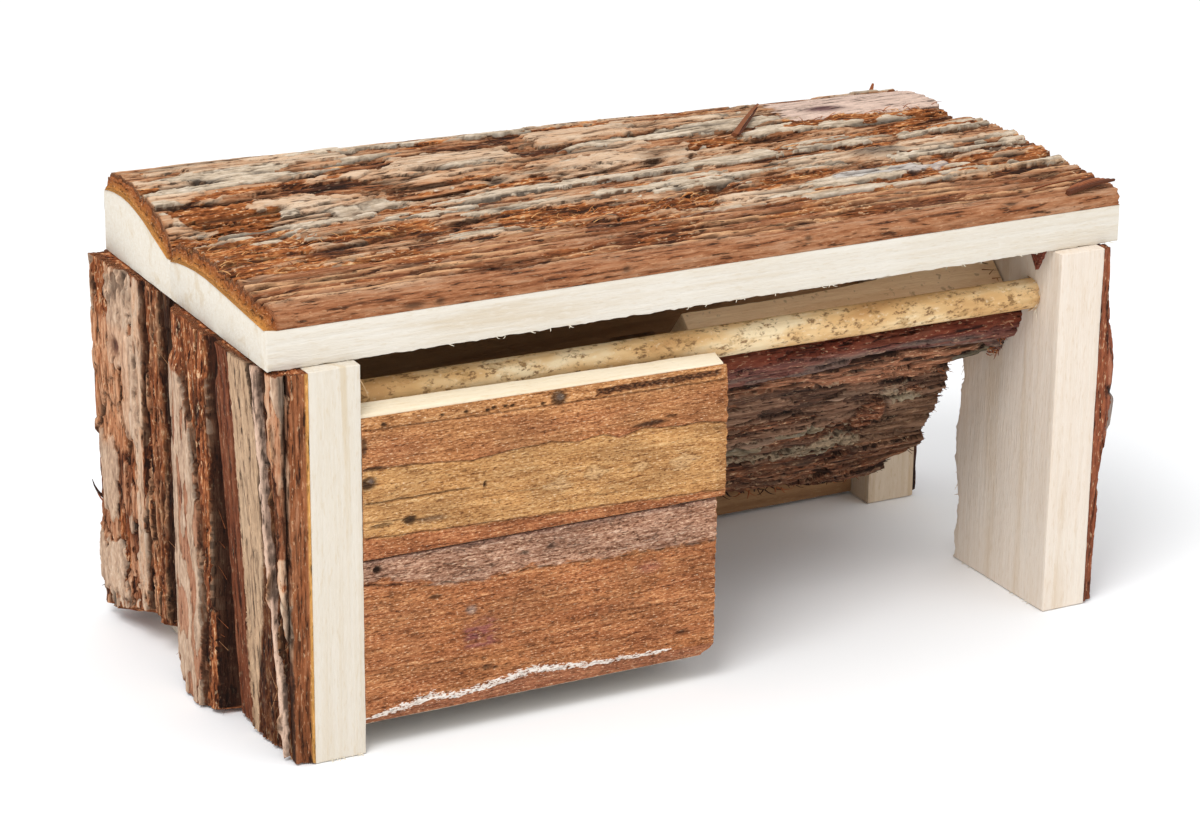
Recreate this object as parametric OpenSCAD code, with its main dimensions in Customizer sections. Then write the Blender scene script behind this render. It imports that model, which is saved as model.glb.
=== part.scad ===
// Small wooden house for a hamster: bark-covered slabs nailed together.
// Front is -Y, right is +X. The origin is on the floor, under the middle.

/* [Overall] */
// Length of the roof along the front
roof_l = 280; // [262:1:320]
// Depth of the roof from front to back
roof_d = 126; // [118:1:150]
// Height of the roof's flat underside above the floor
wall_h = 117; // [114:1:130]

/* [Walls] */
// Thickness of the upright side boards
board_t = 15.6; // [12:0.1:18]
// How far the roof runs past the left board
over_l = 10.4; // [6:0.1:14]
// How far the roof runs past the right board
over_r = 7.8; // [4:0.1:12]
// How far the side boards stand in front of the roof
step_f = 4; // [0:0.5:6]
// Thickness of the back wall slabs
back_t = 16; // [12:0.5:18]

/* [Side doorway] */
// Width of the front right board
leg_w = 52; // [44:1:56]
// Width of the opening between the two right boards
door_w = 51.5; // [40:0.1:56]

/* [Front panel] */
// Length of the front panel from the left wall
panel_l = 115; // [100:1:130]
// Height of the seam between its two boards
panel_seam = 58.5; // [50:0.5:65]
// Thickness of the panel with the inner bark left on it
panel_t = 6.7; // [5:0.1:6.7]

/* [Front rail] */
// Diameter of the round rail under the roof
rail_d = 9.4; // [6:0.1:11]
// Depth of the rail's holes in the walls
rail_hole = 6; // [4:0.5:9]

/* [Sloped slab] */
// Length of the sloped slab from top to bottom edge
slope_l = 90; // [70:1:92]
// Thickness of the sloped slab with its bark
slope_t = 20.3; // [14:0.1:20.5]
// Thickness of the bark on the sloped slab
slope_bark_t = 5; // [3:0.5:6]

/* [Nails] */
// Diameter of the nails
nail_d = 1.6; // [1.2:0.1:2]
// Diameter of the nail heads
head_d = 2.6; // [2.2:0.1:3]

/* [Hidden] */
$fn = 48;
shift_x = 2.3;                          // puts the origin under the middle
shift_y = -1.9;
xe = roof_l / 2;                        // roof ends
yf = -roof_d / 2;                       // roof's front face
yb = roof_d / 2;                        // roof's back face
yw = yf - step_f;                       // front edges of the side boards
xl0 = -xe + over_l;                     // left wall, outer sawn face
xl1 = xl0 + board_t;                    // left wall, inner face
xr1 = xe - over_r;                      // right wall, outer sawn face
xr0 = xr1 - board_t;                    // right wall, inner face
xr2 = xr1 + 2.2;                        // right wall, outer face of the thicker back board
seam_l = 9;                             // roof seam at the left end
seam_r = 27;                            // roof seam at the right end
yi = yb - back_t;                       // back wall, inner face
door_y0 = yw + leg_w;                   // side doorway, front side
door_y1 = door_y0 + door_w;             // side doorway, back side
px1 = xl1 + panel_l;                    // right end of the panel
pyb = yw + panel_t;                     // back face of the panel
panel_bottom = 8.5;
panel_top = 102.4;
rail_y = yw + 15;                       // rail axis
rail_zl = 101.8;                        // rail axis at the left wall
rail_zr = 100.5;                        // rail axis at the right wall
rail_tilt = atan2(rail_zl - rail_zr, xr0 - xl1);
slope_a = 49.2;                         // slope of the inner slab
slope_y = yw + 19;                      // its upper front edge
slope_z = 91;
post_t = 15;                            // centre post, along X
post_x0 = px1 - 11.5;
post_x1 = post_x0 + post_t;
post_y0 = pyb + 9.8;
post_y1 = -16;
eps = 0.01;

// ---------- helpers ----------
module placed() { translate([shift_x, shift_y, 0]) children(); }

// a profile drawn in Y and Z, extruded along X from x0 to x1
module along_x(x0, x1, pts) {
  translate([x0, 0, 0]) rotate([90, 0, 90]) linear_extrude(x1 - x0) polygon(pts);
}
// a profile drawn in X and Z, extruded along Y from y0 to y1
module along_y(y0, y1, pts) {
  translate([0, y1, 0]) rotate([90, 0, 0]) linear_extrude(y1 - y0) polygon(pts);
}
// a profile drawn in X and Y, extruded upwards
module upright(z0, z1, pts) {
  translate([0, 0, z0]) linear_extrude(z1 - z0) polygon(pts);
}
// a tapering slab between two convex end profiles
module loft(left, right) {
  hull() {
    along_x(-xe, -xe + eps, left);
    along_x(xe - eps, xe, right);
  }
}
module box(x0, x1, y0, y1, z0, z1) {
  translate([x0, y0, z0]) cube([x1 - x0, y1 - y0, z1 - z0]);
}
// frame of the sloped slab: x, distance down the slope, height above its bark face
module sloped() { translate([0, slope_y, slope_z]) rotate([-slope_a, 0, 0]) children(); }
// frame of the rail, its axis along X
module on_rail() {
  translate([xl1, rail_y, rail_zl]) rotate([0, 90 + rail_tilt, 0]) children();
}
// One nail, head at the origin, point along +Z. The hole lets the head in from above.
module nail(l) {
  cylinder(d = head_d, h = 0.8);
  translate([0, 0, 0.8]) cylinder(d = nail_d, h = l - 0.8);
}
module nail_hole(l, above) {
  translate([0, 0, -above]) cylinder(d = head_d, h = above + 0.8);
  translate([0, 0, 0.8]) cylinder(d = nail_d, h = l - 0.8);
}

// ---------- roof ----------
function front_wood_l() = [[yf, wall_h], [yf, wall_h + 11.6], [yf + 18, wall_h + 13.2],
  [yf + 33, wall_h + 14.3], [yf + 48, wall_h + 15], [yf + 63, wall_h + 13.7],
  [seam_l, wall_h + 11.2], [seam_l, wall_h]];
function front_wood_r() = [[yf, wall_h], [yf, wall_h + 11.6], [yf + 22, wall_h + 13.2],
  [yf + 43, wall_h + 14.7], [yf + 66, wall_h + 15.8], [yf + 78, wall_h + 15],
  [seam_r, wall_h + 12.8], [seam_r, wall_h]];
function front_bark_l() = [[yf, wall_h + 4], [yf, wall_h + 15.8], [yf + 14, wall_h + 18.7],
  [yf + 29, wall_h + 20.6], [yf + 47, wall_h + 21.4], [yf + 63, wall_h + 20],
  [seam_l, wall_h + 17.4], [seam_l, wall_h + 4]];
function front_bark_r() = [[yf, wall_h + 4], [yf, wall_h + 16.6], [yf + 22, wall_h + 18.4],
  [yf + 41, wall_h + 20.0], [yf + 67, wall_h + 21.4], [yf + 79, wall_h + 20.6],
  [seam_r, wall_h + 17.6], [seam_r, wall_h + 4]];
function back_wood_l() = [[seam_l, wall_h], [seam_l, wall_h + 11.2], [seam_l + 13, wall_h + 16],
  [seam_l + 23, wall_h + 19.2], [seam_l + 35, wall_h + 21.2], [seam_l + 47, wall_h + 20.6],
  [yb, wall_h + 18.6], [yb, wall_h]];
function back_wood_r() = [[seam_r, wall_h], [seam_r, wall_h + 12.8], [seam_r + 9, wall_h + 15],
  [seam_r + 19, wall_h + 16.8], [seam_r + 29, wall_h + 16.2], [yb, wall_h + 14], [yb, wall_h]];
function back_bark_l() = [[seam_l, wall_h + 4], [seam_l, wall_h + 17.4], [seam_l + 14, wall_h + 23.4],
  [seam_l + 28, wall_h + 26.6], [seam_l + 41, wall_h + 27.2], [yb - 5, wall_h + 26],
  [yb, wall_h + 23.6], [yb, wall_h + 4]];
function back_bark_r() = [[seam_r, wall_h + 4], [seam_r, wall_h + 17.6], [seam_r + 11, wall_h + 20.4],
  [seam_r + 22, wall_h + 22], [yb - 5, wall_h + 21], [yb, wall_h + 18.4], [yb, wall_h + 4]];

nail_top = wall_h + 9;                  // height of the sunk nail heads
roof_nail_l = 26;
front_roof_nails = [[(xl0 + xl1) / 2, yf + 14], [(xl0 + xl1) / 2, -18],
  [(xr0 + xr1) / 2, yf + 12], [(xr0 + xr1) / 2, -28]];
back_roof_nails = [[(xl0 + xl1) / 2, 26], [(xl0 + xl1) / 2, yb - 12],
  [(xr0 + xr1) / 2, yb - 12], [-62, yb - 8], [0, yb - 8], [62, yb - 8]];
module roof_holes(at) {
  for (p = at) translate([p[0], p[1], nail_top]) rotate([180, 0, 0]) nail_hole(roof_nail_l, 40);
}

module roof_front_slab() color([0.93, 0.88, 0.78]) placed() difference() {
  loft(front_wood_l(), front_wood_r());
  roof_holes(front_roof_nails);
}
module roof_front_bark() color([0.55, 0.36, 0.24]) placed() difference() {
  loft(front_bark_l(), front_bark_r());
  loft(front_wood_l(), front_wood_r());
  roof_holes(front_roof_nails);
}
module roof_back_slab() color([0.93, 0.88, 0.78]) placed() difference() {
  loft(back_wood_l(), back_wood_r());
  roof_holes(back_roof_nails);
}
module roof_back_bark() color([0.58, 0.42, 0.31]) placed() difference() {
  loft(back_bark_l(), back_bark_r());
  loft(back_wood_l(), back_wood_r());
  roof_holes(back_roof_nails);
}

// ---------- left wall ----------
lf_in = [[xl0, yw], [xl0 - 1.4, yw + 18], [xl0 - 2, yw + 36], [xl0 - 1.6, yw + 56], [xl0, seam_l]];
lb_in = [[xl0, seam_l], [xl0 - 1.4, seam_l + 16], [xl0 - 1.8, seam_l + 28], [xl0 - 1.2, yb - 12], [xl0, yb]];
lf_out = [[xl0 - 4, yw], [xl0 - 8, yw + 5], [xl0 - 9, yw + 9], [xl0 - 5.5, yw + 11.5],
  [xl0 - 11, yw + 14], [xl0 - 13, yw + 24], [xl0 - 13.4, yw + 36], [xl0 - 11, yw + 41],
  [xl0 - 5.5, yw + 43.5], [xl0 - 12.6, yw + 47], [xl0 - 13.8, yw + 58],
  [xl0 - 12, yw + 68], [xl0 - 7, seam_l - 1.5], [xl0 - 5, seam_l]];
lb_out = [[xl0 - 5, seam_l], [xl0 - 9.5, seam_l + 4], [xl0 - 11.4, seam_l + 16],
  [xl0 - 10.6, seam_l + 27], [xl0 - 6, seam_l + 30], [xl0 - 12.4, seam_l + 33],
  [xl0 - 15.4, seam_l + 44], [xl0 - 15.6, yb - 3], [xl0 - 14.6, yb]];
function rev(v) = [for (i = [len(v) - 1:-1:0]) v[i]];
back_nail_z = [22, 44, 78, 100];
module side_holes() {
  for (z = back_nail_z) {
    translate([xl0 + 0.6, yb - 8, z]) rotate([0, 90, 0]) nail_hole(32, 24);
    translate([xr2 - 0.6, yb - 8, z]) rotate([0, -90, 0]) nail_hole(32, 24);
  }
}
batten_nail_z = [30, 76];
module batten_holes() {
  for (z = batten_nail_z) translate([xl0 + 0.6, pyb + 4.5, z]) rotate([0, 90, 0]) nail_hole(22, 24);
}
slope_nail_s = [15, 28];
module slope_holes() {
  for (s = slope_nail_s) sloped() {
    translate([xr1 - 0.6, s, 11]) rotate([0, -90, 0]) nail_hole(32, 24);
    translate([post_x0, s, 11]) rotate([0, 90, 0]) nail_hole(32, 2);
  }
}
module rail_bore() { on_rail() translate([0, 0, -rail_hole]) cylinder(d = rail_d, h = rail_hole + 3); }
module rail_bore_r() {
  on_rail() translate([0, 0, (xr0 - xl1) / cos(rail_tilt) - 3]) cylinder(d = rail_d, h = rail_hole + 3);
}

module left_front_board() color([0.94, 0.89, 0.8]) placed() difference() {
  upright(0, wall_h, concat([[xl1, yw]], lf_in, [[xl1, seam_l]]));
  rail_bore();
  batten_holes();
  roof_holes(front_roof_nails);
}
module left_front_bark() color([0.56, 0.38, 0.27]) placed() difference() {
  upright(0.5, wall_h - 0.5, concat(lf_in, rev(lf_out)));
  batten_holes();
}
module left_back_board() color([0.94, 0.89, 0.8]) placed() difference() {
  upright(0, wall_h, concat([[xl1, seam_l]], lb_in, [[xl1, yb]]));
  side_holes();
  roof_holes(back_roof_nails);
}
module left_back_bark() color([0.6, 0.44, 0.34]) placed() difference() {
  upright(2, wall_h - 0.5, concat(lb_in, rev(lb_out)));
  side_holes();
  // the bark stops short of the floor, higher towards the front
  translate([xl0 - 20, seam_l - 6, 11.5]) rotate([-10, 0, 0]) translate([0, 0, -20]) cube([30, 70, 20]);
}

// ---------- right wall ----------
rf_in = [[xr1, yw], [xr1 + 1, yw + 18], [xr1 + 0.6, yw + 38], [xr1, door_y0]];
rf_out = [[xr1 + 7.6, yw], [xr1 + 8.2, yw + 16], [xr1 + 7, yw + 32], [xr1 + 5, door_y0 - 4], [xr1 + 3, door_y0]];
module right_front_board() color([0.93, 0.88, 0.8]) placed() difference() {
  upright(0, wall_h, concat([[xr0, door_y0], [xr0, yw]], rf_in));
  rail_bore_r();
  slope_holes();
  roof_holes(front_roof_nails);
}
module right_front_bark() color([0.5, 0.27, 0.18]) placed() difference() {
  intersection() {
    upright(0.5, wall_h - 0.5, concat(rf_in, rev(rf_out)));
    along_y(yw - 1, door_y0 + 1, [[xr1 - 1, 0], [xr1 + 4.3, 0], [xr1 + 5.2, 20], [xr1 + 6.2, 42],
      [xr1 + 8.2, 66], [xr1 + 8.2, 78], [xr1 + 6, 92], [xr1 + 5, 108], [xr1 + 2.6, wall_h], [xr1 - 1, wall_h]]);
  }
  slope_holes();
}
module right_back_board() color([0.93, 0.87, 0.78]) placed() difference() {
  box(xr0, xr2, door_y1, yb, 0, wall_h);
  side_holes();
  roof_holes(back_roof_nails);
}
module right_back_bark() color([0.52, 0.32, 0.2]) placed() difference() {
  upright(1, wall_h - 0.5, [[xr2, door_y1], [xr2 + 2.4, door_y1 + 1], [xr2 + 3.2, door_y1 + 12],
    [xr2 + 2.8, yb - 3], [xr2 + 1.4, yb], [xr2, yb]]);
  side_holes();
}

// ---------- back wall ----------
back_z0 = 1.2;
back_zm = wall_h / 2 + 1.5;
function back_in(a, b) = [[yb, a], [yb + 1.6, a + (b - a) * 0.25], [yb + 2.2, (a + b) / 2],
  [yb + 1.6, a + (b - a) * 0.75], [yb, b]];
function back_out(a, b) = [[yb + 4, a], [yb + 6.8, a + (b - a) * 0.2], [yb + 7.8, (a + b) / 2],
  [yb + 7, a + (b - a) * 0.8], [yb + 4, b]];
module back_slab(a, b) difference() {
  along_x(xl1, xr0, concat([[yi, a]], back_in(a, b), [[yi, b]]));
  side_holes();
  roof_holes(back_roof_nails);
}
module back_bark(a, b) along_x(xl1, xr0, concat(back_in(a, b), rev(back_out(a, b))));
module back_lower_slab() color([0.9, 0.83, 0.72]) placed() back_slab(back_z0, back_zm);
module back_lower_bark() color([0.54, 0.38, 0.28]) placed() back_bark(back_z0, back_zm);
module back_upper_slab() color([0.9, 0.83, 0.72]) placed() back_slab(back_zm, wall_h);
module back_upper_bark() color([0.58, 0.42, 0.32]) placed() back_bark(back_zm, wall_h - 0.5);

// ---------- front panel ----------
skin_t = 1.6;
panel_nail_z = [24, 46, 70, 88];
panel_nail_x = [xl1 + 5, px1 - 7];
module panel_holes() {
  for (x = panel_nail_x, z = panel_nail_z)
    translate([x, yw + skin_t, z]) rotate([-90, 0, 0]) nail_hole(x < px1 - 20 ? 13 : 28, 6);
}
module panel_upper_board() color([0.9, 0.83, 0.7]) placed() difference() {
  along_x(xl1, px1, [[yw + skin_t, panel_seam], [pyb, panel_seam], [pyb, panel_top], [yw + skin_t, panel_top - 1.6]]);
  panel_holes();
}
module panel_upper_skin() color([0.72, 0.47, 0.27]) placed() difference() {
  along_x(xl1, px1, [[yw, panel_seam], [yw + skin_t, panel_seam], [yw + skin_t, panel_top - 1.6], [yw, panel_top - 3.4]]);
  panel_holes();
}
// the lower board's right bottom corner is rounded
function lower_outline(x1) = [[xl1, panel_bottom], [x1 - 5, panel_bottom], [x1 - 1.5, panel_bottom + 1.5],
  [x1, panel_bottom + 5], [x1, panel_seam], [xl1, panel_seam]];
module panel_lower_board() color([0.9, 0.83, 0.7]) placed() difference() {
  along_y(yw + skin_t, pyb, lower_outline(px1 - 2));
  panel_holes();
}
module panel_lower_skin() color([0.6, 0.36, 0.22]) placed() difference() {
  along_y(yw + 0.6, yw + skin_t, lower_outline(px1 - 2));
  panel_holes();
}

// ---------- inside ----------
// the end that hangs free in the side doorway is torn back
module free_end() {
  translate([0, 0, -1]) linear_extrude(slope_t + 2)
    polygon([[xr0 + 1, 27], [xr0 - 5, 32], [xr0 - 8.5, 44], [xr0 - 7.5, 60], [xr0 - 4, 72], [xr0 + 1, 80]]);
}
module slope_slab() color([0.72, 0.56, 0.4]) placed() difference() {
  sloped() difference() {
    box(post_x1, xr0, 0, slope_l, slope_bark_t, slope_t);
    free_end();
  }
  slope_holes();
}
module slope_bark() color([0.42, 0.26, 0.2]) placed() sloped() difference() {
  box(post_x1, xr0, 0, slope_l, 0, slope_bark_t);
  free_end();
  // long cracks across the face
  for (s = [15, 41, 66]) translate([post_x1 + 6, s, 0]) rotate([45, 0, 0]) translate([0, -1, -1])
    cube([xr0 - post_x1 - 24, 2, 2]);
}
module centre_post() color([0.86, 0.76, 0.62]) placed() difference() {
  box(post_x0, post_x1, post_y0, post_y1, 12, 94);
  panel_holes();
  slope_holes();
}
module left_batten() color([0.88, 0.8, 0.66]) placed() difference() {
  box(xl1, xl1 + 10, pyb, post_y0, 12, 94);
  panel_holes();
  batten_holes();
}
module right_batten() color([0.88, 0.8, 0.66]) placed() difference() {
  box(post_x0, post_x0 + 9, pyb, post_y0, 12, 94);
  panel_holes();
}
module front_rail() color([0.86, 0.74, 0.5]) placed() on_rail()
  translate([0, 0, -rail_hole]) cylinder(d = rail_d, h = (xr0 - xl1) / cos(rail_tilt) + 2 * rail_hole);
module bark_chip() color([0.45, 0.2, 0.14]) placed()
  along_x(xr0 - 1.2, xr0, [[yf + 12, wall_h], [yf + 6, wall_h], [yf + 8.5, wall_h - 5]]);

// ---------- nails ----------
module roof_nails() color([0.62, 0.62, 0.64]) placed()
  for (p = concat(front_roof_nails, back_roof_nails))
    translate([p[0], p[1], nail_top]) rotate([180, 0, 0]) nail(roof_nail_l);
module back_wall_nails() color([0.62, 0.62, 0.64]) placed() for (z = back_nail_z) {
  translate([xl0 + 0.6, yb - 8, z]) rotate([0, 90, 0]) nail(32);
  translate([xr2 - 0.6, yb - 8, z]) rotate([0, -90, 0]) nail(32);
}
module panel_nails() color([0.62, 0.62, 0.64]) placed()
  for (x = panel_nail_x, z = panel_nail_z)
    translate([x, yw + skin_t, z]) rotate([-90, 0, 0]) nail(x < px1 - 20 ? 13 : 28);
module slope_nails() color([0.62, 0.62, 0.64]) placed() for (s = slope_nail_s) sloped() {
  translate([xr1 - 0.6, s, 11]) rotate([0, -90, 0]) nail(32);
  translate([post_x0, s, 11]) rotate([0, 90, 0]) nail(32);
}
module batten_nails() color([0.62, 0.62, 0.64]) placed()
  for (z = batten_nail_z) translate([xl0 + 0.6, pyb + 4.5, z]) rotate([0, 90, 0]) nail(22);

roof_front_slab();
roof_front_bark();
roof_back_slab();
roof_back_bark();
left_front_board();
left_front_bark();
left_back_board();
left_back_bark();
right_front_board();
right_front_bark();
right_back_board();
right_back_bark();
back_lower_slab();
back_lower_bark();
back_upper_slab();
back_upper_bark();
panel_upper_board();
panel_upper_skin();
panel_lower_board();
panel_lower_skin();
slope_slab();
slope_bark();
centre_post();
left_batten();
right_batten();
front_rail();
bark_chip();
roof_nails();
back_wall_nails();
panel_nails();
slope_nails();
batten_nails();
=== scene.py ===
import math

import bmesh
import bpy
import numpy as np
from mathutils import Matrix, Vector


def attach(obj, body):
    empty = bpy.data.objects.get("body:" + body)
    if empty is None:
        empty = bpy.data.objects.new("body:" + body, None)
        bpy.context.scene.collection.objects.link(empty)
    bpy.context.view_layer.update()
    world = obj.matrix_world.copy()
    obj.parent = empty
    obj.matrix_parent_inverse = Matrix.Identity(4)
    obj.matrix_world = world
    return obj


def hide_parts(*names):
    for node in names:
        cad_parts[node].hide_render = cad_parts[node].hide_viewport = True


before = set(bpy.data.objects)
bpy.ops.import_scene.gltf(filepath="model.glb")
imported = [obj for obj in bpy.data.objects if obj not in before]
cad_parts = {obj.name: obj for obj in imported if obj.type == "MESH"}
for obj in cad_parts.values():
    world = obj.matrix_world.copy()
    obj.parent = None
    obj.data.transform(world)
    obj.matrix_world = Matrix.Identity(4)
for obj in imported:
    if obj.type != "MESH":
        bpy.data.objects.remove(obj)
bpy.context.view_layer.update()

# The house is laid out in millimetres about its own middle; this puts it in the row's frame.
SX, SY = 2.3, -1.9
H = 117.0                       # height of the roof's flat underside


# ---------------------------------------------------------------- noise
def ss(a, b, x):
    t = np.clip((x - a) / (b - a), 0.0, 1.0)
    return t * t * (3 - 2 * t)


def _hash(ix, iy, seed):
    h = (ix * 73856093) ^ (iy * 19349663) ^ (seed * 83492791 + 12345)
    h = ((h ^ (h >> 13)) * 1274126177) & 0xFFFFFFFFFFFF
    h = (h ^ (h >> 16)) & 0xFFFFFFFF
    h = (h * 2654435761) & 0xFFFFFFFF
    h = h ^ (h >> 15)
    return h.astype(np.float64) / 4294967296.0


def perlin(x, y, seed=0):
    x, y = np.broadcast_arrays(np.asarray(x, float), np.asarray(y, float))
    xi, yi = np.floor(x).astype(np.int64), np.floor(y).astype(np.int64)
    xf, yf = x - xi, y - yi
    u = xf**3 * (xf * (xf * 6 - 15) + 10)
    v = yf**3 * (yf * (yf * 6 - 15) + 10)

    def corner(dx, dy):
        a = _hash(xi + dx, yi + dy, seed) * 2 * np.pi
        return np.cos(a) * (xf - dx) + np.sin(a) * (yf - dy)

    top = corner(0, 0) * (1 - u) + corner(1, 0) * u
    low = corner(0, 1) * (1 - u) + corner(1, 1) * u
    return (top * (1 - v) + low * v) * 1.45


def fbm(x, y, seed=0, octaves=4, gain=0.5):
    s, a, t = 0.0, 1.0, 0.0
    for o in range(octaves):
        s = s + a * perlin(x * 2**o, y * 2**o, seed + 31 * o)
        t += a
        a *= gain
    return s / t


def cells(x, y, seed):
    """Cellular noise: how far from the cell's border, two random numbers of the cell, offset along x."""
    xi, yi = np.floor(x).astype(np.int64), np.floor(y).astype(np.int64)
    f1 = np.full(x.shape, 9.0)
    f2 = np.full(x.shape, 9.0)
    a, b, ox = np.zeros(x.shape), np.zeros(x.shape), np.zeros(x.shape)
    for dx in (-1, 0, 1):
        for dy in (-1, 0, 1):
            cx, cy = xi + dx, yi + dy
            px = cx + 0.1 + 0.8 * _hash(cx, cy, seed) - x
            py = cy + 0.1 + 0.8 * _hash(cx, cy, seed + 1) - y
            r = np.sqrt(px * px + py * py)
            near = r < f1
            f2 = np.where(near, f1, np.minimum(f2, r))
            f1 = np.where(near, r, f1)
            a = np.where(near, _hash(cx, cy, seed + 2), a)
            b = np.where(near, _hash(cx, cy, seed + 3), b)
            ox = np.where(near, -px, ox)
    return f2 - f1, a, b, ox


def blur(f, ru, rv):
    """Box blur of a grid, ru and rv cells each way, run twice."""
    for _ in range(2):
        for axis, r in ((0, ru), (1, rv)):
            if r < 1:
                continue
            pad = [(0, 0), (0, 0)]
            pad[axis] = (r + 1, r)
            c = np.cumsum(np.pad(f, pad, mode="edge"), axis=axis)
            n = f.shape[axis]
            hi = np.take(c, range(2 * r + 1, 2 * r + 1 + n), axis=axis)
            lo = np.take(c, range(0, n), axis=axis)
            f = (hi - lo) / (2 * r + 1)
    return f


# ---------------------------------------------------------------- outlines
def rounded(pts, r, n=3):
    """Closed polygon with each corner cut round: n points a corner."""
    p = np.array(pts, float)
    out = []
    for i in range(len(p)):
        a, b, c = p[i - 1], p[i], p[(i + 1) % len(p)]
        ra = min(r, np.linalg.norm(a - b) * 0.4)
        rc = min(r, np.linalg.norm(c - b) * 0.4)
        s = b + (a - b) / max(np.linalg.norm(a - b), 1e-9) * ra
        e = b + (c - b) / max(np.linalg.norm(c - b), 1e-9) * rc
        for t in np.linspace(0, 1, n):
            out.append((1 - t) ** 2 * s + 2 * t * (1 - t) * b + t * t * e)
    return np.array(out)


def outline_pair(left, right, r, seg):
    """Two closed outlines with the same number of points, each side cut into equal steps."""
    a, b = rounded(left, r), rounded(right, r)
    la, lb = [], []
    for i in range(len(a)):
        j = (i + 1) % len(a)
        d = (np.linalg.norm(a[j] - a[i]) + np.linalg.norm(b[j] - b[i])) / 2
        n = max(1, int(round(d / seg)))
        for k in range(n):
            t = k / n
            la.append(a[i] * (1 - t) + a[j] * t)
            lb.append(b[i] * (1 - t) + b[j] * t)
    return np.array(la), np.array(lb)


def path(pts, n, smooth=2):
    """Open path through pts, corners eased, resampled to n points of even spacing."""
    p = np.array(pts, float)
    for _ in range(smooth):
        q = [p[0]]
        for a, b in zip(p[:-1], p[1:]):
            q += [a * 0.75 + b * 0.25, a * 0.25 + b * 0.75]
        q.append(p[-1])
        p = np.array(q)
    d = np.r_[0, np.cumsum(np.linalg.norm(np.diff(p, axis=0), axis=1))]
    t = np.linspace(0, d[-1], n)
    return np.c_[np.interp(t, d, p[:, 0]), np.interp(t, d, p[:, 1])], d[-1]


def normals2(p, closed=True):
    t = np.roll(p, -1, 0) - np.roll(p, 1, 0) if closed else np.gradient(p, axis=0)
    n = np.c_[t[:, 1], -t[:, 0]]
    return n / np.maximum(np.linalg.norm(n, axis=1, keepdims=True), 1e-9)


def area2(p):
    return 0.5 * np.sum(p[:, 0] * np.roll(p[:, 1], -1) - np.roll(p[:, 0], -1) * p[:, 1])


def to_xyz(axis, c, a, b):
    """c runs along the axis; a and b are the other two coordinates in X, Y, Z order."""
    if axis == "x":
        return np.stack([c, a, b], -1)
    if axis == "y":
        return np.stack([a, c, b], -1)
    return np.stack([a, b, c], -1)


# ---------------------------------------------------------------- meshes
def make_mesh(name, verts, faces, material, nodes, attrs=None, uvs=None, smooth=True, angle=None):
    me = bpy.data.meshes.new(name)
    v = (np.array(verts, float) + [SX, SY, 0]) * 0.001
    me.from_pydata(v.tolist(), [], faces)
    me.update()
    bm = bmesh.new()
    bm.from_mesh(me)
    bmesh.ops.recalc_face_normals(bm, faces=bm.faces)
    bm.to_mesh(me)
    bm.free()
    for key, (kind, data) in (attrs or {}).items():
        at = me.attributes.new(key, kind, "POINT")
        field = "color" if kind == "FLOAT_COLOR" else "vector" if kind == "FLOAT_VECTOR" else "value"
        at.data.foreach_set(field, np.ascontiguousarray(data, dtype=np.float32).ravel())
    if uvs is not None:
        layer = me.uv_layers.new(name="OFBake")
        idx = np.empty(len(me.loops), dtype=np.int64)
        me.loops.foreach_get("vertex_index", idx)
        layer.data.foreach_set("uv", uvs(me, idx).astype(np.float32).ravel())
    me.polygons.foreach_set("use_smooth", [bool(smooth)] * len(me.polygons))
    if smooth and angle is not None:
        me.set_sharp_from_angle(angle=math.radians(angle))
    ob = bpy.data.objects.new(name, me)
    bpy.context.scene.collection.objects.link(ob)
    me.materials.append(material)
    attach(ob, "root")
    if nodes:
        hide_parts(*nodes)
    return ob


def solid(name, left, right, axis, c0, c1, material, nodes, step=3.0, seg=2.5, r=0.5, end=0.4,
          rough=0.12, seed=1, warp=None, angle=40, frame_map=None):
    """A sawn board: an outline carried along an axis, with eased edges and a little unevenness."""
    la, lb = outline_pair(left, right, r, seg)
    if area2(la) < 0:
        la, lb = la[::-1], lb[::-1]
    n = max(2, int((c1 - c0) / step))
    cs = np.r_[c0, np.linspace(c0 + end, c1 - end, n), c1]
    inset = np.r_[end, np.zeros(n), end]
    m = len(la)
    ds = np.r_[0, np.cumsum(np.linalg.norm(np.diff(la, axis=0), axis=1))]
    verts = np.zeros((len(cs), m, 3))
    for i, c in enumerate(cs):
        t = (c - c0) / (c1 - c0)
        p = la * (1 - t) + lb * t
        nn = normals2(p)
        d = rough * (fbm(np.full(m, c / 14.0), ds / 9.0, seed, 3) + 0.5 * perlin(np.full(m, c / 3.0), ds / 2.5, seed + 5))
        p = p + nn * (d - inset[i])[:, None]
        cc = np.full(m, c)
        if i in (0, len(cs) - 1):
            cc = cc + (1 if i else -1) * (0.12 * perlin(p[:, 0] / 2.0, p[:, 1] / 2.0, seed + 9) - 0.12)
        verts[i] = to_xyz(axis, cc, p[:, 0], p[:, 1])
    P = verts.reshape(-1, 3)
    if warp is not None:
        P = warp(P)
    if frame_map is not None:
        P = frame_map(P)
    faces = []
    for i in range(len(cs) - 1):
        for j in range(m):
            k = (j + 1) % m
            faces.append((i * m + j, i * m + k, (i + 1) * m + k, (i + 1) * m + j))
    faces.append(tuple(range(m - 1, -1, -1)))
    faces.append(tuple((len(cs) - 1) * m + j for j in range(m)))
    return make_mesh(name, P, faces, material, nodes, angle=angle)


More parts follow.
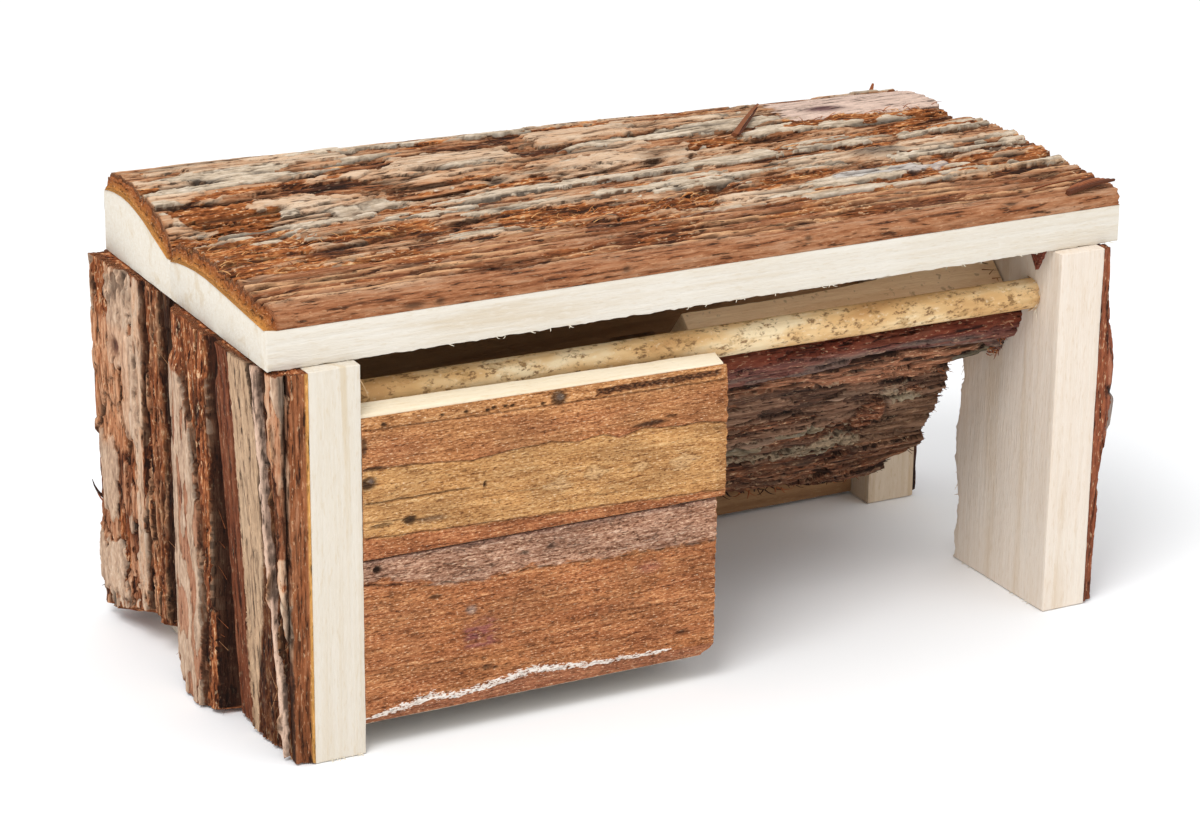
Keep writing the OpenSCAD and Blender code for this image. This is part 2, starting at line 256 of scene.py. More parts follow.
def sheet(name, outer, inner, axis, c0, c1, nu, nv, field, material, nodes, smooth=2, nr=9, nc=5,
          frame_map=None, ends=None, cap_mask=(0.25, 0.0, 0.9, 0.0), cap_tint=None, angle=50, ramp=14.0):
    """A bark piece: a finely worked outer skin, a plain inner face and two grained ends.
    outer and inner are pairs of open paths, at c0 and at c1, that share their end points.
    field(U, V, TH, info) gives the relief in mm, four masks and a tint with its strength.
    ends(V, info) gives, in mm, how far each end runs past c0 and c1: outer0, inner0, outer1, inner1."""
    oa, la = path(outer[0], nv, smooth)
    ob_, lb = path(outer[1], nv, smooth)
    ia, _ = path(inner[0], nv, 1)
    ib, _ = path(inner[1], nv, 1)
    ia[0], ia[-1], ib[0], ib[-1] = oa[0], oa[-1], ob_[0], ob_[-1]
    u = np.linspace(0, c1 - c0, nu)
    w = (u / (c1 - c0))[:, None, None]
    base = oa[None] * (1 - w) + ob_[None] * w
    low = ia[None] * (1 - w) + ib[None] * w
    nrm = normals2(oa, False)[None] * (1 - w) + normals2(ob_, False)[None] * w
    nrm /= np.maximum(np.linalg.norm(nrm, axis=2, keepdims=True), 1e-9)
    mid = low[:, nv // 2] - base[:, nv // 2]
    if np.sum(mid[0] * nrm[0, nv // 2]) > 0:
        nrm = -nrm
    fine, _ = path(inner[0], 200, 1)
    thick = np.array([np.min(np.linalg.norm(fine - oa[j], axis=1)) for j in range(nv)])
    length = (la + lb) / 2
    V = np.linspace(0, length, nv)[None, :] * np.ones((nu, 1))
    U = u[:, None] * np.ones((1, nv))
    TH = thick[None, :] * np.ones((nu, 1))
    info = {"A": base[:, :, 0], "B": base[:, :, 1], "nu": nu, "nv": nv, "du": u[1], "dv": length / (nv - 1)}
    d, masks, tint = field(U, V, TH, info)
    fade = np.clip(np.minimum(V, length - V) / 1.0, 0, 1)
    d = np.maximum(d, -(TH - 0.35)) * fade
    P2 = base + nrm * d[:, :, None]
    C = c0 + U
    v1 = V[0]
    einfo = {"A": oa[:, 0], "B": oa[:, 1], "L": length}
    if ends is None:
        e = [np.zeros(nv)] * 4
    else:
        e = [np.broadcast_to(np.asarray(q, float), (nv,)).copy() for q in ends(v1, einfo)]
    side = np.clip(np.minimum(v1, length - v1) / 1.5, 0, 1)
    e[1] = e[0] + (e[1] - e[0]) * side
    e[3] = e[2] + (e[3] - e[2]) * side
    k0, k1 = 1 - ss(0, ramp, U), ss(u[-1] - ramp, u[-1], U)
    C = C - e[0][None] * k0 + e[2][None] * k1
    top = to_xyz(axis, C, P2[:, :, 0], P2[:, :, 1])
    rows = np.linspace(0, nu - 1, nr).astype(int)
    Cb = (c0 + U)[rows] - e[1][None] * k0[rows] + e[3][None] * k1[rows]
    bot = to_xyz(axis, Cb, low[rows][:, :, 0], low[rows][:, :, 1])
    pts, idt = [top.reshape(-1, 3)], np.arange(nu * nv).reshape(nu, nv)
    n = nu * nv
    idb = np.zeros((nr, nv), int)
    idb[:, 0], idb[:, -1] = idt[rows, 0], idt[rows, -1]
    idb[:, 1:-1] = n + np.arange(nr * (nv - 2)).reshape(nr, nv - 2)
    pts.append(bot[:, 1:-1].reshape(-1, 3))
    n += nr * (nv - 2)
    caps, capk = [], []
    for end, r in ((0, 0), (nu - 1, nr - 1)):
        idc = np.zeros((nc + 1, nv), int)
        idc[0], idc[-1] = idt[end], idb[r]
        for k in range(1, nc):
            t = k / nc
            q = top[end] * (1 - t) + bot[r] * t
            ax = "xyz".index(axis)
            q[:, ax] += 0.5 * perlin(v1 / 0.9, np.full(nv, k * 0.7), 77 + end) * side * math.sin(math.pi * t)
            idc[k, 0], idc[k, -1] = idt[end, 0], idt[end, -1]
            idc[k, 1:-1] = n + np.arange(nv - 2)
            pts.append(q[1:-1])
            capk.append(np.full(nv - 2, t))
            n += nv - 2
        caps.append(idc)
    P = np.concatenate(pts)
    if frame_map is not None:
        P = frame_map(P)
    q = np.stack([idt[:-1, :-1], idt[1:, :-1], idt[1:, 1:], idt[:-1, 1:]], -1).reshape(-1, 4).tolist()
    faces, tag = q, [0] * len(q)
    for r in range(nr - 1):
        for j in range(nv - 1):
            if j in (0, nv - 2):
                edge = idt[rows[r]:rows[r + 1] + 1, 0 if j == 0 else nv - 1].tolist()
                f = edge + [idb[r + 1, 1 if j == 0 else nv - 2], idb[r, 1 if j == 0 else nv - 2]]
            else:
                f = [idb[r, j], idb[r, j + 1], idb[r + 1, j + 1], idb[r + 1, j]]
            faces.append([int(x) for x in f])
            tag.append(1)
    for c, idc in enumerate(caps):
        for k in range(nc):
            for j in range(nv - 1):
                f = [idc[k, j], idc[k, j + 1], idc[k + 1, j + 1], idc[k + 1, j]]
                g = []
                for x in f:
                    if int(x) not in g:
                        g.append(int(x))
                if len(g) > 2:
                    faces.append(g)
                    tag.append(2 + c)
    nt = nu * nv
    bark = np.zeros((len(P), 4))
    tn = np.zeros((len(P), 4))
    for k, mk in enumerate(masks):
        bark[:nt, k] = np.clip(mk, 0, 1).ravel()
    if tint is not None:
        for k in range(4):
            tn[:nt, k] = np.broadcast_to(tint[k], U.shape).ravel()
    bark[nt:, 0] = 0.4
    nb = nt + nr * (nv - 2)
    bark[nb:] = cap_mask
    # the outermost rows of the skin take on the look of the sawn end
    for end in (0, nu - 1):
        bark[idt[end]] = bark[idt[end]] * 0.4 + np.array(cap_mask) * 0.6
    flow = np.zeros((len(P), 3))
    flow[:nt, 0], flow[:nt, 1], flow[:nt, 2] = U.ravel(), V.ravel(), d.ravel()
    flow[nt:nb, 0] = np.repeat(u[rows], nv - 2)
    flow[nt:nb, 1] = np.tile(v1[1:-1], nr)
    kk = np.concatenate(capk)
    if cap_tint is not None:
        kq = kk[:, None] ** 2.5
        tn[nb:] = np.array(cap_tint[0]) * (1 - kq) + np.array(cap_tint[1]) * kq
        tn[np.r_[idb[0, 1:-1], idb[-1, 1:-1]]] = cap_tint[1]
    flow[nb:, 0] = np.tile(v1[1:-1], 2 * (nc - 1)) * 2.5
    flow[nb:, 1] = kk * 7.0
    ucoord = np.zeros(len(P))
    ucoord[:nt] = (U / u[-1]).ravel()
    ucoord[nt:nb] = np.repeat(u[rows] / u[-1], nv - 2)
    vcoord = np.zeros(len(P))
    vcoord[:nt] = (V / length).ravel()
    vcoord[nt:nb] = np.tile(v1[1:-1] / length, nr)
    vcoord[nb:] = np.tile(v1[1:-1] / length, 2 * (nc - 1))
    kcoord = np.zeros(len(P))
    kcoord[nt:nb] = 1.0
    kcoord[nb:] = kk
    tag = np.array(tag)

    def uvs(me, idx):
        sizes = np.empty(len(me.polygons), dtype=np.int64)
        me.polygons.foreach_get("loop_total", sizes)
        tg = np.repeat(tag, sizes)
        uv = np.zeros((len(idx), 2))
        uu, vv, kc = ucoord[idx], vcoord[idx], kcoord[idx]
        m = tg == 0
        uv[m] = np.c_[0.01 + 0.98 * uu[m], 0.01 + 0.77 * vv[m]]
        m = tg == 1
        uv[m] = np.c_[0.01 + 0.98 * uu[m], 0.80 + 0.08 * vv[m]]
        for c, v0 in ((2, 0.90), (3, 0.955)):
            m = tg == c
            uv[m] = np.c_[0.01 + 0.98 * vv[m], v0 + 0.035 * kc[m]]
        return uv

    return make_mesh(name, P, faces, material, nodes,
                     attrs={"bark": ("FLOAT_COLOR", bark), "flow": ("FLOAT_VECTOR", flow), "tint": ("FLOAT_COLOR", tn)},
                     uvs=uvs, angle=angle)


class Strands:
    """Loose splinters and torn fibres, gathered into one piece of mesh."""

    def __init__(self):
        self.v, self.f, self.t = [], [], []

    def add(self, a, b, r0=0.25, r1=0.04, bend=(0, 0, 0), n=5, flat=1.0, col=(0.5, 0.5, 0.5)):
        a, b, bend = np.array(a, float), np.array(b, float), np.array(bend, float)
        t = b - a
        t = t / max(np.linalg.norm(t), 1e-9)
        s = np.cross(t, [0.3, 0.5, 0.8])
        s /= np.linalg.norm(s)
        q = np.cross(t, s)
        base = len(self.v)
        for i in range(n):
            k = i / (n - 1)
            c = a * (1 - k) + b * k + bend * 4 * k * (1 - k)
            r = r0 * (1 - k) + r1 * k
            for j in range(4):
                w = j * math.pi / 2
                self.v.append(c + s * r * math.cos(w) + q * r * flat * math.sin(w))
                self.t.append(tuple(col) + (1.0,))
        for i in range(n - 1):
            for j in range(4):
                m = (j + 1) % 4
                self.f.append((base + i * 4 + j, base + i * 4 + m, base + (i + 1) * 4 + m, base + (i + 1) * 4 + j))
        self.f.append(tuple(base + j for j in (3, 2, 1, 0)))
        self.f.append(tuple(base + (n - 1) * 4 + j for j in range(4)))

    def mesh(self, name, material):
        v = np.array(self.v)
        bark = np.zeros((len(v), 4))
        bark[:, 0] = 0.5
        return make_mesh(name, v, self.f, material, None,
                         attrs={"bark": ("FLOAT_COLOR", bark), "flow": ("FLOAT_VECTOR", v),
                                "tint": ("FLOAT_COLOR", np.array(self.t))}, angle=60)


# ---------------------------------------------------------------- shader helpers
def lin(*c):
    c = [x / 255.0 for x in c]
    return tuple(x / 12.92 if x <= 0.04045 else ((x + 0.055) / 1.055) ** 2.4 for x in c) + (1.0,)


class Nodes:
    def __init__(self, name, rough=0.85, spec=0.25):
        self.m = bpy.data.materials.new(name)
        self.m.use_nodes = True
        self.t = self.m.node_tree
        self.t.nodes.clear()
        self.out = self.t.nodes.new("ShaderNodeOutputMaterial")
        self.b = self.t.nodes.new("ShaderNodeBsdfPrincipled")
        self.b.inputs["Roughness"].default_value = rough
        self.b.inputs["Specular IOR Level"].default_value = spec
        self.t.links.new(self.b.outputs[0], self.out.inputs[0])

    def _set(self, sock, v):
        if isinstance(v, bpy.types.NodeSocket):
            self.t.links.new(v, sock)
        elif v is not None:
            sock.default_value = v

    def attr(self, name):
        n = self.t.nodes.new("ShaderNodeAttribute")
        n.attribute_name = name
        return n

    def obj(self):
        return self.t.nodes.new("ShaderNodeTexCoord").outputs["Object"]

    def vmul(self, v, s):
        n = self.t.nodes.new("ShaderNodeVectorMath")
        n.operation = "MULTIPLY"
        self._set(n.inputs[0], v)
        n.inputs[1].default_value = s
        return n.outputs[0]

    def noise(self, vec, detail=3.0, rough=0.55, distort=0.0):
        n = self.t.nodes.new("ShaderNodeTexNoise")
        self._set(n.inputs["Vector"], vec)
        n.inputs["Scale"].default_value = 1.0
        n.inputs["Detail"].default_value = detail
        n.inputs["Roughness"].default_value = rough
        n.inputs["Distortion"].default_value = distort
        return n.outputs["Fac"]

    def wide(self, vec, detail=3.0, rough=0.55, distort=0.0, a=0.33, b=0.67):
        """Noise stretched to run from 0 to 1."""
        return self.step(self.noise(vec, detail, rough, distort), a, b)

    def math(self, op, a, b=None, c=None, clamp=False):
        n = self.t.nodes.new("ShaderNodeMath")
        n.operation = op
        n.use_clamp = clamp
        self._set(n.inputs[0], a)
        if b is not None:
            self._set(n.inputs[1], b)
        if c is not None:
            self._set(n.inputs[2], c)
        return n.outputs[0]

    def ramp(self, fac, stops):
        n = self.t.nodes.new("ShaderNodeValToRGB")
        while len(n.color_ramp.elements) > 1:
            n.color_ramp.elements.remove(n.color_ramp.elements[0])
        e = n.color_ramp.elements[0]
        e.position, e.color = stops[0][0], stops[0][1]
        for p, c in stops[1:]:
            e = n.color_ramp.elements.new(p)
            e.color = c
        self._set(n.inputs[0], fac)
        return n.outputs[0]

    def step(self, fac, a, b):
        """Runs from 0 to 1 between a and b."""
        n = self.t.nodes.new("ShaderNodeMapRange")
        self._set(n.inputs["Value"], fac)
        n.inputs["From Min"].default_value = a
        n.inputs["From Max"].default_value = b
        return n.outputs[0]

    def mix(self, fac, a, b, blend="MIX"):
        n = self.t.nodes.new("ShaderNodeMix")
        n.data_type = "RGBA"
        n.blend_type = blend
        self._set(n.inputs[0], fac)
        self._set(n.inputs[6], a)
        self._set(n.inputs[7], b)
        return n.outputs[2]

    def bump(self, height, strength, distance, normal=None):
        n = self.t.nodes.new("ShaderNodeBump")
        n.inputs["Strength"].default_value = strength
        n.inputs["Distance"].default_value = distance
        self._set(n.inputs["Height"], height)
        if normal is not None:
            self._set(n.inputs["Normal"], normal)
        return n.outputs[0]

    def sep(self, col):
        n = self.t.nodes.new("ShaderNodeSeparateColor")
        self._set(n.inputs[0], col)
        return n.outputs

    def finish(self, color, rough=None, normal=None):
        self._set(self.b.inputs["Base Color"], color)
        if rough is not None:
            self._set(self.b.inputs["Roughness"], rough)
        if normal is not None:
            self._set(self.b.inputs["Normal"], normal)
        return self.m


def weave(k, flow, fine=1.0):
    """The noises that a fibrous surface needs, in its own millimetres: along the grain, across it, height."""
    return {
        "s1": k.wide(k.vmul(flow, (0.032, 0.60 * fine, 0.30)), 4, 0.6, 0.3),
        "s2": k.wide(k.vmul(flow, (0.11, 1.55 * fine, 0.7)), 3, 0.65, 0.2),
        "s3": k.wide(k.vmul(flow, (0.42, 2.9 * fine, 0.9)), 2, 0.6),
        "n1": k.wide(k.vmul(flow, (0.022, 0.10, 0.0)), 3, 0.5),
        "n2": k.wide(k.vmul(flow, (0.16, 0.60, 0.0)), 4, 0.6),
        "sp": k.noise(k.vmul(flow, (0.9, 1.7, 1.0)), 2, 0.6),
    }


def bark_material(name, ramp, torn, grey, dark, spec=0.18, strong=1.0, fine=0.55):
    """ramp colours the flakes by layer, torn the fibrous tears, grey the weathered flakes, dark the furrows and the
    painted shade in hollows and under flake steps.
    """
    k = Nodes(name, 0.88, spec)
    a = k.attr("bark")
    rgb = k.sep(a.outputs["Color"])
    level, greym, tornm = rgb[0], rgb[1], rgb[2]
    dark_and_shade_mask = a.outputs["Alpha"]
    tint = k.attr("tint")
    flow = k.attr("flow").outputs["Vector"]
    w = weave(k, flow, fine)
    lv = k.math("MULTIPLY_ADD", w["s1"], 0.34 * strong, level)
    lv = k.math("MULTIPLY_ADD", w["s2"], 0.34 * strong, lv)
    lv = k.math("MULTIPLY_ADD", w["n1"], 0.20, lv)
    lv = k.math("ADD", lv, -0.10 - 0.34 * strong)
    c = k.ramp(lv, ramp)
    tv = k.math("MULTIPLY_ADD", w["s2"], 0.45, k.math("MULTIPLY_ADD", w["s1"], 0.25, k.math("MULTIPLY", w["s3"], 0.3)))
    ct = k.ramp(tv, torn)
    gv = k.math("MULTIPLY_ADD", w["s1"], 0.35, k.math("MULTIPLY_ADD", w["n2"], 0.35, k.math("MULTIPLY", w["s3"], 0.3)))
    cg = k.ramp(gv, grey)
    half = k.math("SUBTRACT", w["n2"], 0.5)
    gm = k.step(k.math("MULTIPLY_ADD", half, 0.35, greym), 0.35, 0.60)
    tm = k.step(k.math("MULTIPLY_ADD", half, 0.45, tornm), 0.3, 0.65)
    c = k.mix(tm, c, ct)
    c = k.mix(gm, c, cg)
    tf = k.math("MULTIPLY_ADD", k.math("ADD", w["s2"], w["s3"]), 0.30, 0.70)
    comb = k.t.nodes.new("ShaderNodeCombineColor")
    for i in range(3):
        k._set(comb.inputs[i], tf)
    c = k.mix(tint.outputs["Alpha"], c, k.mix(1.0, tint.outputs["Color"], comb.outputs[0], "MULTIPLY"))
    # dark cracks between fibres, pale fibres standing up, small specks
    flat = k.math("MULTIPLY_ADD", gm, -0.65, 1.0)
    c = k.mix(k.math("MULTIPLY", k.math("MULTIPLY", k.step(w["s2"], 0.28, 0.04), 0.8 * strong), flat), c, dark)
    c = k.mix(k.math("MULTIPLY", k.math("MULTIPLY", k.step(w["s1"], 0.16, 0.0), 0.6 * strong), flat), c, dark)
    pale = k.math("MULTIPLY", k.step(w["s3"], 0.80, 0.98), k.math("MULTIPLY_ADD", tm, 0.45, 0.2))
    c = k.mix(pale, c, lin(232, 196, 156))
    c = k.mix(k.math("MULTIPLY", k.math("MULTIPLY", k.step(w["sp"], 0.64, 0.74), 0.6), flat), c, dark)
    # the dark mask: the bark's dark cracks and furrows, plus painted shade in hollows and painted shadow at flake steps
    c = k.mix(k.math("MULTIPLY", dark_and_shade_mask, 0.93), c, dark)
    h = k.math("MULTIPLY_ADD", w["s2"], 0.7, k.math("MULTIPLY", w["s1"], 0.9))
    h = k.math("MULTIPLY", k.math("MULTIPLY_ADD", w["s3"], 0.3, h), flat)
    return k.finish(c, k.math("MULTIPLY_ADD", gm, -0.14, 0.9), k.bump(h, 0.8, 0.0004))


def wood_material(name, axis, base, streak, speck, scale=1.0, contrast=0.5, spec=0.2, dirt=0.0):
    """Sawn wood with its grain along axis (x, y or z)."""
    k = Nodes(name, 0.82, spec)
    o = k.obj()

    def along(a, b):
        v = [b * scale] * 3
        v["xyz".index(axis)] = a
        return tuple(v)

    g1 = k.wide(k.vmul(o, along(14.0, 700.0)), 4, 0.6, 0.2)
    g2 = k.wide(k.vmul(o, along(5.0, 110.0)), 3, 0.55, 0.8)
    g3 = k.wide(k.vmul(o, (18, 18, 18)), 2, 0.5)
    f = k.wide(k.vmul(o, along(250.0, 1500.0)), 2, 0.6)
    m = k.math("MULTIPLY_ADD", g1, 0.4, k.math("MULTIPLY", k.step(g2, 0.55, 0.85), 0.6))
    c = k.mix(k.math("MULTIPLY", m, contrast), base, streak)
    c = k.mix(k.math("MULTIPLY", k.step(g3, 0.5, 1.0), 0.35), c, speck)
    c = k.mix(k.math("MULTIPLY", k.step(f, 0.75, 1.0), 0.30), c, streak)
    c = k.mix(k.math("MULTIPLY", k.step(f, 0.25, 0.0), 0.30), c, speck)
    if dirt:
        sp = k.noise(k.vmul(o, (420, 420, 420)), 2, 0.6)
        c = k.mix(k.math("MULTIPLY", k.step(sp, 0.62, 0.70), dirt), c, lin(110, 72, 46))
    h = k.math("MULTIPLY_ADD", g1, 0.6, k.math("MULTIPLY", f, 0.5))
    return k.finish(c, k.math("MULTIPLY_ADD", g1, 0.12, 0.76), k.bump(h, 0.45, 0.00025))


# ---------------------------------------------------------------- materials
BARK_ROOF = bark_material(
    "bark_roof",
    [(0.0, lin(40, 22, 13)), (0.14, lin(84, 46, 27)), (0.30, lin(142, 88, 54)), (0.48, lin(181, 131, 94)),
     (0.68, lin(197, 160, 128)), (1.0, lin(213, 187, 160))],
    [(0.1, lin(66, 30, 14)), (0.4, lin(134, 74, 36)), (0.6, lin(178, 108, 58)), (0.85, lin(222, 166, 108))],
    [(0.1, lin(136, 116, 96)), (0.5, lin(194, 174, 150)), (0.9, lin(222, 207, 188))],
    lin(32, 17, 10))
BARK_LEFT = bark_material(
    "bark_left",
    [(0.0, lin(38, 20, 13)), (0.16, lin(86, 46, 28)), (0.34, lin(140, 84, 54)), (0.52, lin(180, 126, 92)),
     (0.74, lin(204, 162, 130)), (1.0, lin(222, 192, 164))],
    [(0.1, lin(52, 24, 14)), (0.4, lin(118, 62, 34)), (0.6, lin(164, 96, 56)), (0.85, lin(212, 154, 106))],
    [(0.1, lin(140, 110, 90)), (0.5, lin(190, 158, 132)), (0.9, lin(216, 192, 168))],
    lin(25, 13, 8))
BARK_RIGHT = bark_material(
    "bark_right",
    [(0.0, lin(34, 14, 10)), (0.3, lin(92, 44, 30)), (0.6, lin(138, 76, 54)), (1.0, lin(176, 118, 90))],
    [(0.1, lin(60, 26, 16)), (0.5, lin(130, 68, 42)), (0.9, lin(184, 118, 78))],
    [(0.1, lin(110, 92, 84)), (0.9, lin(166, 148, 136))],
    lin(26, 13, 10))
BARK_SLOPE = bark_material(
    "bark_slope",
    [(0.0, lin(30, 17, 12)), (0.25, lin(74, 46, 34)), (0.5, lin(118, 82, 62)), (0.75, lin(152, 116, 92)),
     (1.0, lin(178, 146, 122))],
    [(0.1, lin(50, 24, 15)), (0.45, lin(122, 72, 48)), (0.7, lin(168, 110, 76)), (0.9, lin(210, 160, 122))],
    [(0.1, lin(116, 98, 74)), (0.5, lin(172, 156, 126)), (0.9, lin(218, 210, 188))],
    lin(20, 11, 8))
WOOD_X = wood_material("wood_x", "x", lin(217, 210, 198), lin(200, 183, 157), lin(224, 219, 210), contrast=0.8)
WOOD_Z = wood_material("wood_z", "z", lin(215, 207, 194), lin(198, 178, 146), lin(222, 215, 204), contrast=0.75)
# the back right board's wood, darker and browner than the front board: painted shade of the inside
WOOD_LEG_PAINTED_SHADE = wood_material("wood_leg", "z", lin(206, 188, 166), lin(176, 146, 112), lin(216, 202, 186), contrast=0.6)
WOOD_RIGHT = wood_material("wood_right", "z", lin(226, 213, 199), lin(202, 178, 148), lin(230, 222, 210), contrast=0.6)
WOOD_SLOPE = wood_material("wood_slope", "x", lin(246, 214, 174), lin(214, 168, 122), lin(250, 224, 188), contrast=0.6, dirt=0.4)
# a darker brown copy of the sawn wood for the back wall's inner faces: painted shade of the dim inside
WOOD_PAINTED_SHADE = wood_material("wood_dark", "x", lin(158, 120, 84), lin(112, 78, 50), lin(176, 138, 100), contrast=0.7)
WOOD_SHADE = wood_material("wood_shade", "z", lin(120, 88, 62), lin(88, 60, 40), lin(140, 108, 78))


# ---------------------------------------------------------------- bark relief
def bark2(U, V, seed, plate=(58, 6.0), flake=(20, 2.5), step=0.9, fine=0.17, missing=0.22, grey=0.62, wave=1.0,
          crack=0.9, furrow=1.6, lvl=0.5, torn_bias=0.0, vs=1.35):
    """Layered flaking bark: long plates, smaller flakes on them, fibres, cracks and torn places."""
    w = wave * (1.5 * perlin(U / 75, V / 22, seed) + 0.55 * perlin(U / 24, V / 9, seed + 1)
                + 0.22 * perlin(U / 8, V / 4, seed + 2))
    v = (V + w) / vs
    ja, jb = perlin(U / 2.8, v / 1.1, seed + 3), perlin(U / 1.2, v / 0.7, seed + 4)
    jc = perlin(U / 7.0, v / 2.4, seed + 5)
    jag = 0.75 * ja + 0.25 * jb
    e1, a1, b1, x1 = cells(U / plate[0] + 0.05 * jag + 0.07 * jc, v / plate[1] + 0.13 * jag + 0.14 * jc, seed + 20)
    e2, a2, b2, x2 = cells(U / flake[0] + 0.08 * jag + 0.12 * jc, v / flake[1] + 0.20 * jag + 0.20 * jc, seed + 30)
    tn = perlin(U / 42, v / 9, seed + 10) + 0.35 * perlin(U / 13, v / 2.8, seed + 11) + 0.08 * jag
    zone = ss(0.22 - torn_bias, 0.34 - torn_bias, tn)
    gone = np.maximum((a2 < missing * (1 + 1.5 * zone)).astype(float), zone * ss(0.35, 0.45, b2))
    d = step * 1.5 * (a1 - 0.5) + step * 0.9 * x1 * (b1 - 0.5)
    d = d + (step * 0.8 * (b2 - 0.4) + step * 0.8 * x2 * (a2 - 0.5)) * (1 - gone) - 0.55 * step * gone
    g1 = np.exp(-((perlin(U / 38, v / 1.7, seed + 40) / 0.085) ** 2)) * ss(-0.15, 0.1, perlin(U / 30, v / 5, seed + 43))
    g2 = np.exp(-((perlin(U / 17, v / 0.95, seed + 41) / 0.10) ** 2)) * ss(-0.05, 0.2, perlin(U / 20, v / 4, seed + 44))
    fib = -2.9 * g1 - 1.5 * g2 + 0.9 * fbm(U / 14, v / 0.75, seed + 42, 3)
    smooth = ss(0.6, 0.66, a1) * (1 - gone)
    d = d + fine * fib * (1 + 0.9 * gone - 0.6 * smooth)
    on = ss(-0.1, 0.25, perlin(U / 30, v / 12, seed + 50))
    c1 = np.exp(-((e1 / 0.055) ** 2)) * (0.35 + 0.65 * on)
    c2 = np.exp(-((e2 / 0.10) ** 2)) * (0.25 + 0.6 * ss(0.0, 0.2, perlin(U / 14, v / 5, seed + 51)))
    d = d - crack * (0.9 * c1 + 0.42 * c2)
    n1 = perlin(U / 110, v / 6.5, seed + 7)
    f1 = np.exp(-((n1 / 0.05) ** 2)) * ss(-0.1, 0.2, perlin(U / 60, v / 16, seed + 8))
    d = d - furrow * f1
    level = lvl + 0.42 * (a1 - 0.5) + 0.50 * (b2 - 0.5) - 0.20 * gone
    gm = ss(grey, grey + 0.04, b1 * 0.7 + a1 * 0.3 + 0.08 * jag) * (1 - gone)
    gm = np.maximum(gm, ss(0.86, 0.90, b2) * ss(0.45, 0.5, a1) * (1 - gone) * 0.85)
    torn = np.clip(gone * (0.25 + 0.75 * zone), 0, 1)
    dark = np.clip(0.70 * c1 + 0.50 * c2 * on + 0.9 * f1 + (0.80 * g1 + 0.45 * g2) * (1 - 0.75 * smooth), 0, 1)
    return {"d": d, "level": level, "grey": gm, "torn": torn, "dark": dark, "jag": jag, "jc": jc, "v": v,
            "tint": np.zeros(U.shape + (4,))}


def lay(b, m, d=None, level=None, grey=None, torn=None, dark=None, tint=None, rough=None, k=1.0):
    """Blend given values into the bark where m is 1. d is added; rough scales the relief that is there."""
    m = np.clip(m, 0, 1)
    if rough is not None:
        b["d"] = b["d"] * (1 - m * (1 - rough))
    if d is not None:
        b["d"] = b["d"] + m * d
    for key, val in (("level", level), ("grey", grey), ("torn", torn), ("dark", dark)):
        if val is not None:
            b[key] = b[key] * (1 - m) + val * m
    if tint is not None:
        t = np.array(lin(*tint))
        t[3] = k
        b["tint"] = b["tint"] * (1 - m[..., None]) + t * m[..., None]


def done(b, info, k=0.55, amount=0.9, edge=0.9):
    ru, rv = max(1, int(round(1.4 / info["du"]))), max(1, int(round(0.8 / info["dv"])))
    # painted shade in the hollows of the relief, where it lies below its blurred self
    hollow_shade = np.clip((blur(b["d"], ru, rv) - b["d"]) / k, 0, 1)
    dark = np.maximum(b["dark"], hollow_shade**1.3 * amount)
    # the broken edges of flakes are dark
    # painted shadow: the steep sides of the flake steps are darkened
    g = np.abs(np.gradient(b["d"], axis=1)) / info["dv"]
    dark = np.maximum(dark, edge * (1 - 0.5 * b["grey"]) * np.clip((g - 1.1) / 1.4, 0, 1))
    t = b["tint"]
    return b["d"], (b["level"], b["grey"], b["torn"], dark), (t[..., 0], t[..., 1], t[..., 2], t[..., 3])


def band(x, a, b, w=0.5):
    return ss(a - w, a + w, x) * (1 - ss(b - w, b + w, x))


def spot(U, V, u, v, ru, rv, p=1.6):
    return np.exp(-((((U - u) / ru) ** 2 + ((V - v) / rv) ** 2) ** p))


def strip(b, U, V, u0, u1, v0, v1, eu=1.5, ev=0.35, amp=1.0):
    """A long patch with ragged ends and sides."""
    ju, jv = (b["jag"] * 3.0 + b["jc"] * 4.0) * amp, (b["jag"] * 0.8 + b["jc"] * 1.7) * amp
    return (ss(u0 - eu, u0, U + ju) * (1 - ss(u1, u1 + eu, U + ju))
            * ss(v0 - ev, v0, V + jv) * (1 - ss(v1, v1 + ev, V + jv)))


# ---------------------------------------------------------------- roof
FWL = [(-63, H), (-63, 128.6), (-45, 130.2), (-30, 131.3), (-15, 132), (0, 130.7), (9, 128.2), (9, H)]
FWR = [(-63, H), (-63, 128.6), (-41, 130.2), (-20, 131.7), (3, 132.8), (15, 132), (27, 129.8), (27, H)]
BWL = [(9.1, H), (9.1, 128.2), (22, 133), (32, 136.2), (44, 138.2), (56, 137.6), (63, 135.6), (63, H)]
BWR = [(27.1, H), (27.1, 129.8), (33, 131.4), (40, 133), (47, 133.8), (56, 133.2), (63, 131), (63, H)]


def roof_warp(P):
    """A slightly splintered lower front edge."""
    P = P.copy()
    low = (P[:, 2] < H + 1.2) & (P[:, 1] < -60)
    x = P[low, 0]
    P[low, 2] += 0.3 * perlin(x / 5, x * 0, 71) + 0.25 * perlin(x / 1.7, x * 0, 72)
    return P


solid("roof_front_slab_v", FWL, FWR, "x", -140, 140, WOOD_X, ["roof_front_slab"], step=1.3, seg=2.0,
      seed=11, warp=roof_warp, rough=0.16)
solid("roof_back_slab_v", BWL, BWR, "x", -140, 140, WOOD_X, ["roof_back_slab"], step=2.5, seg=2.0, seed=12)


def roof_front_ends(V, i):
    near = 1 - ss(6, 22, V)                    # close to the front corner
    n0, n1 = np.abs(perlin(V / 0.9, V * 0, 41)), np.abs(perlin(V / 2.4, V * 0, 42))
    out0 = -(1.2 + 2.2 * near) - 0.5 * n0
    out1 = -(0.4 + 1.2 * n1 + 0.7 * n0 + 1.0 * ss(0, 30, V))
    return out0, 0.1 + 0.0 * V, out1, 0.0 * V - 0.2


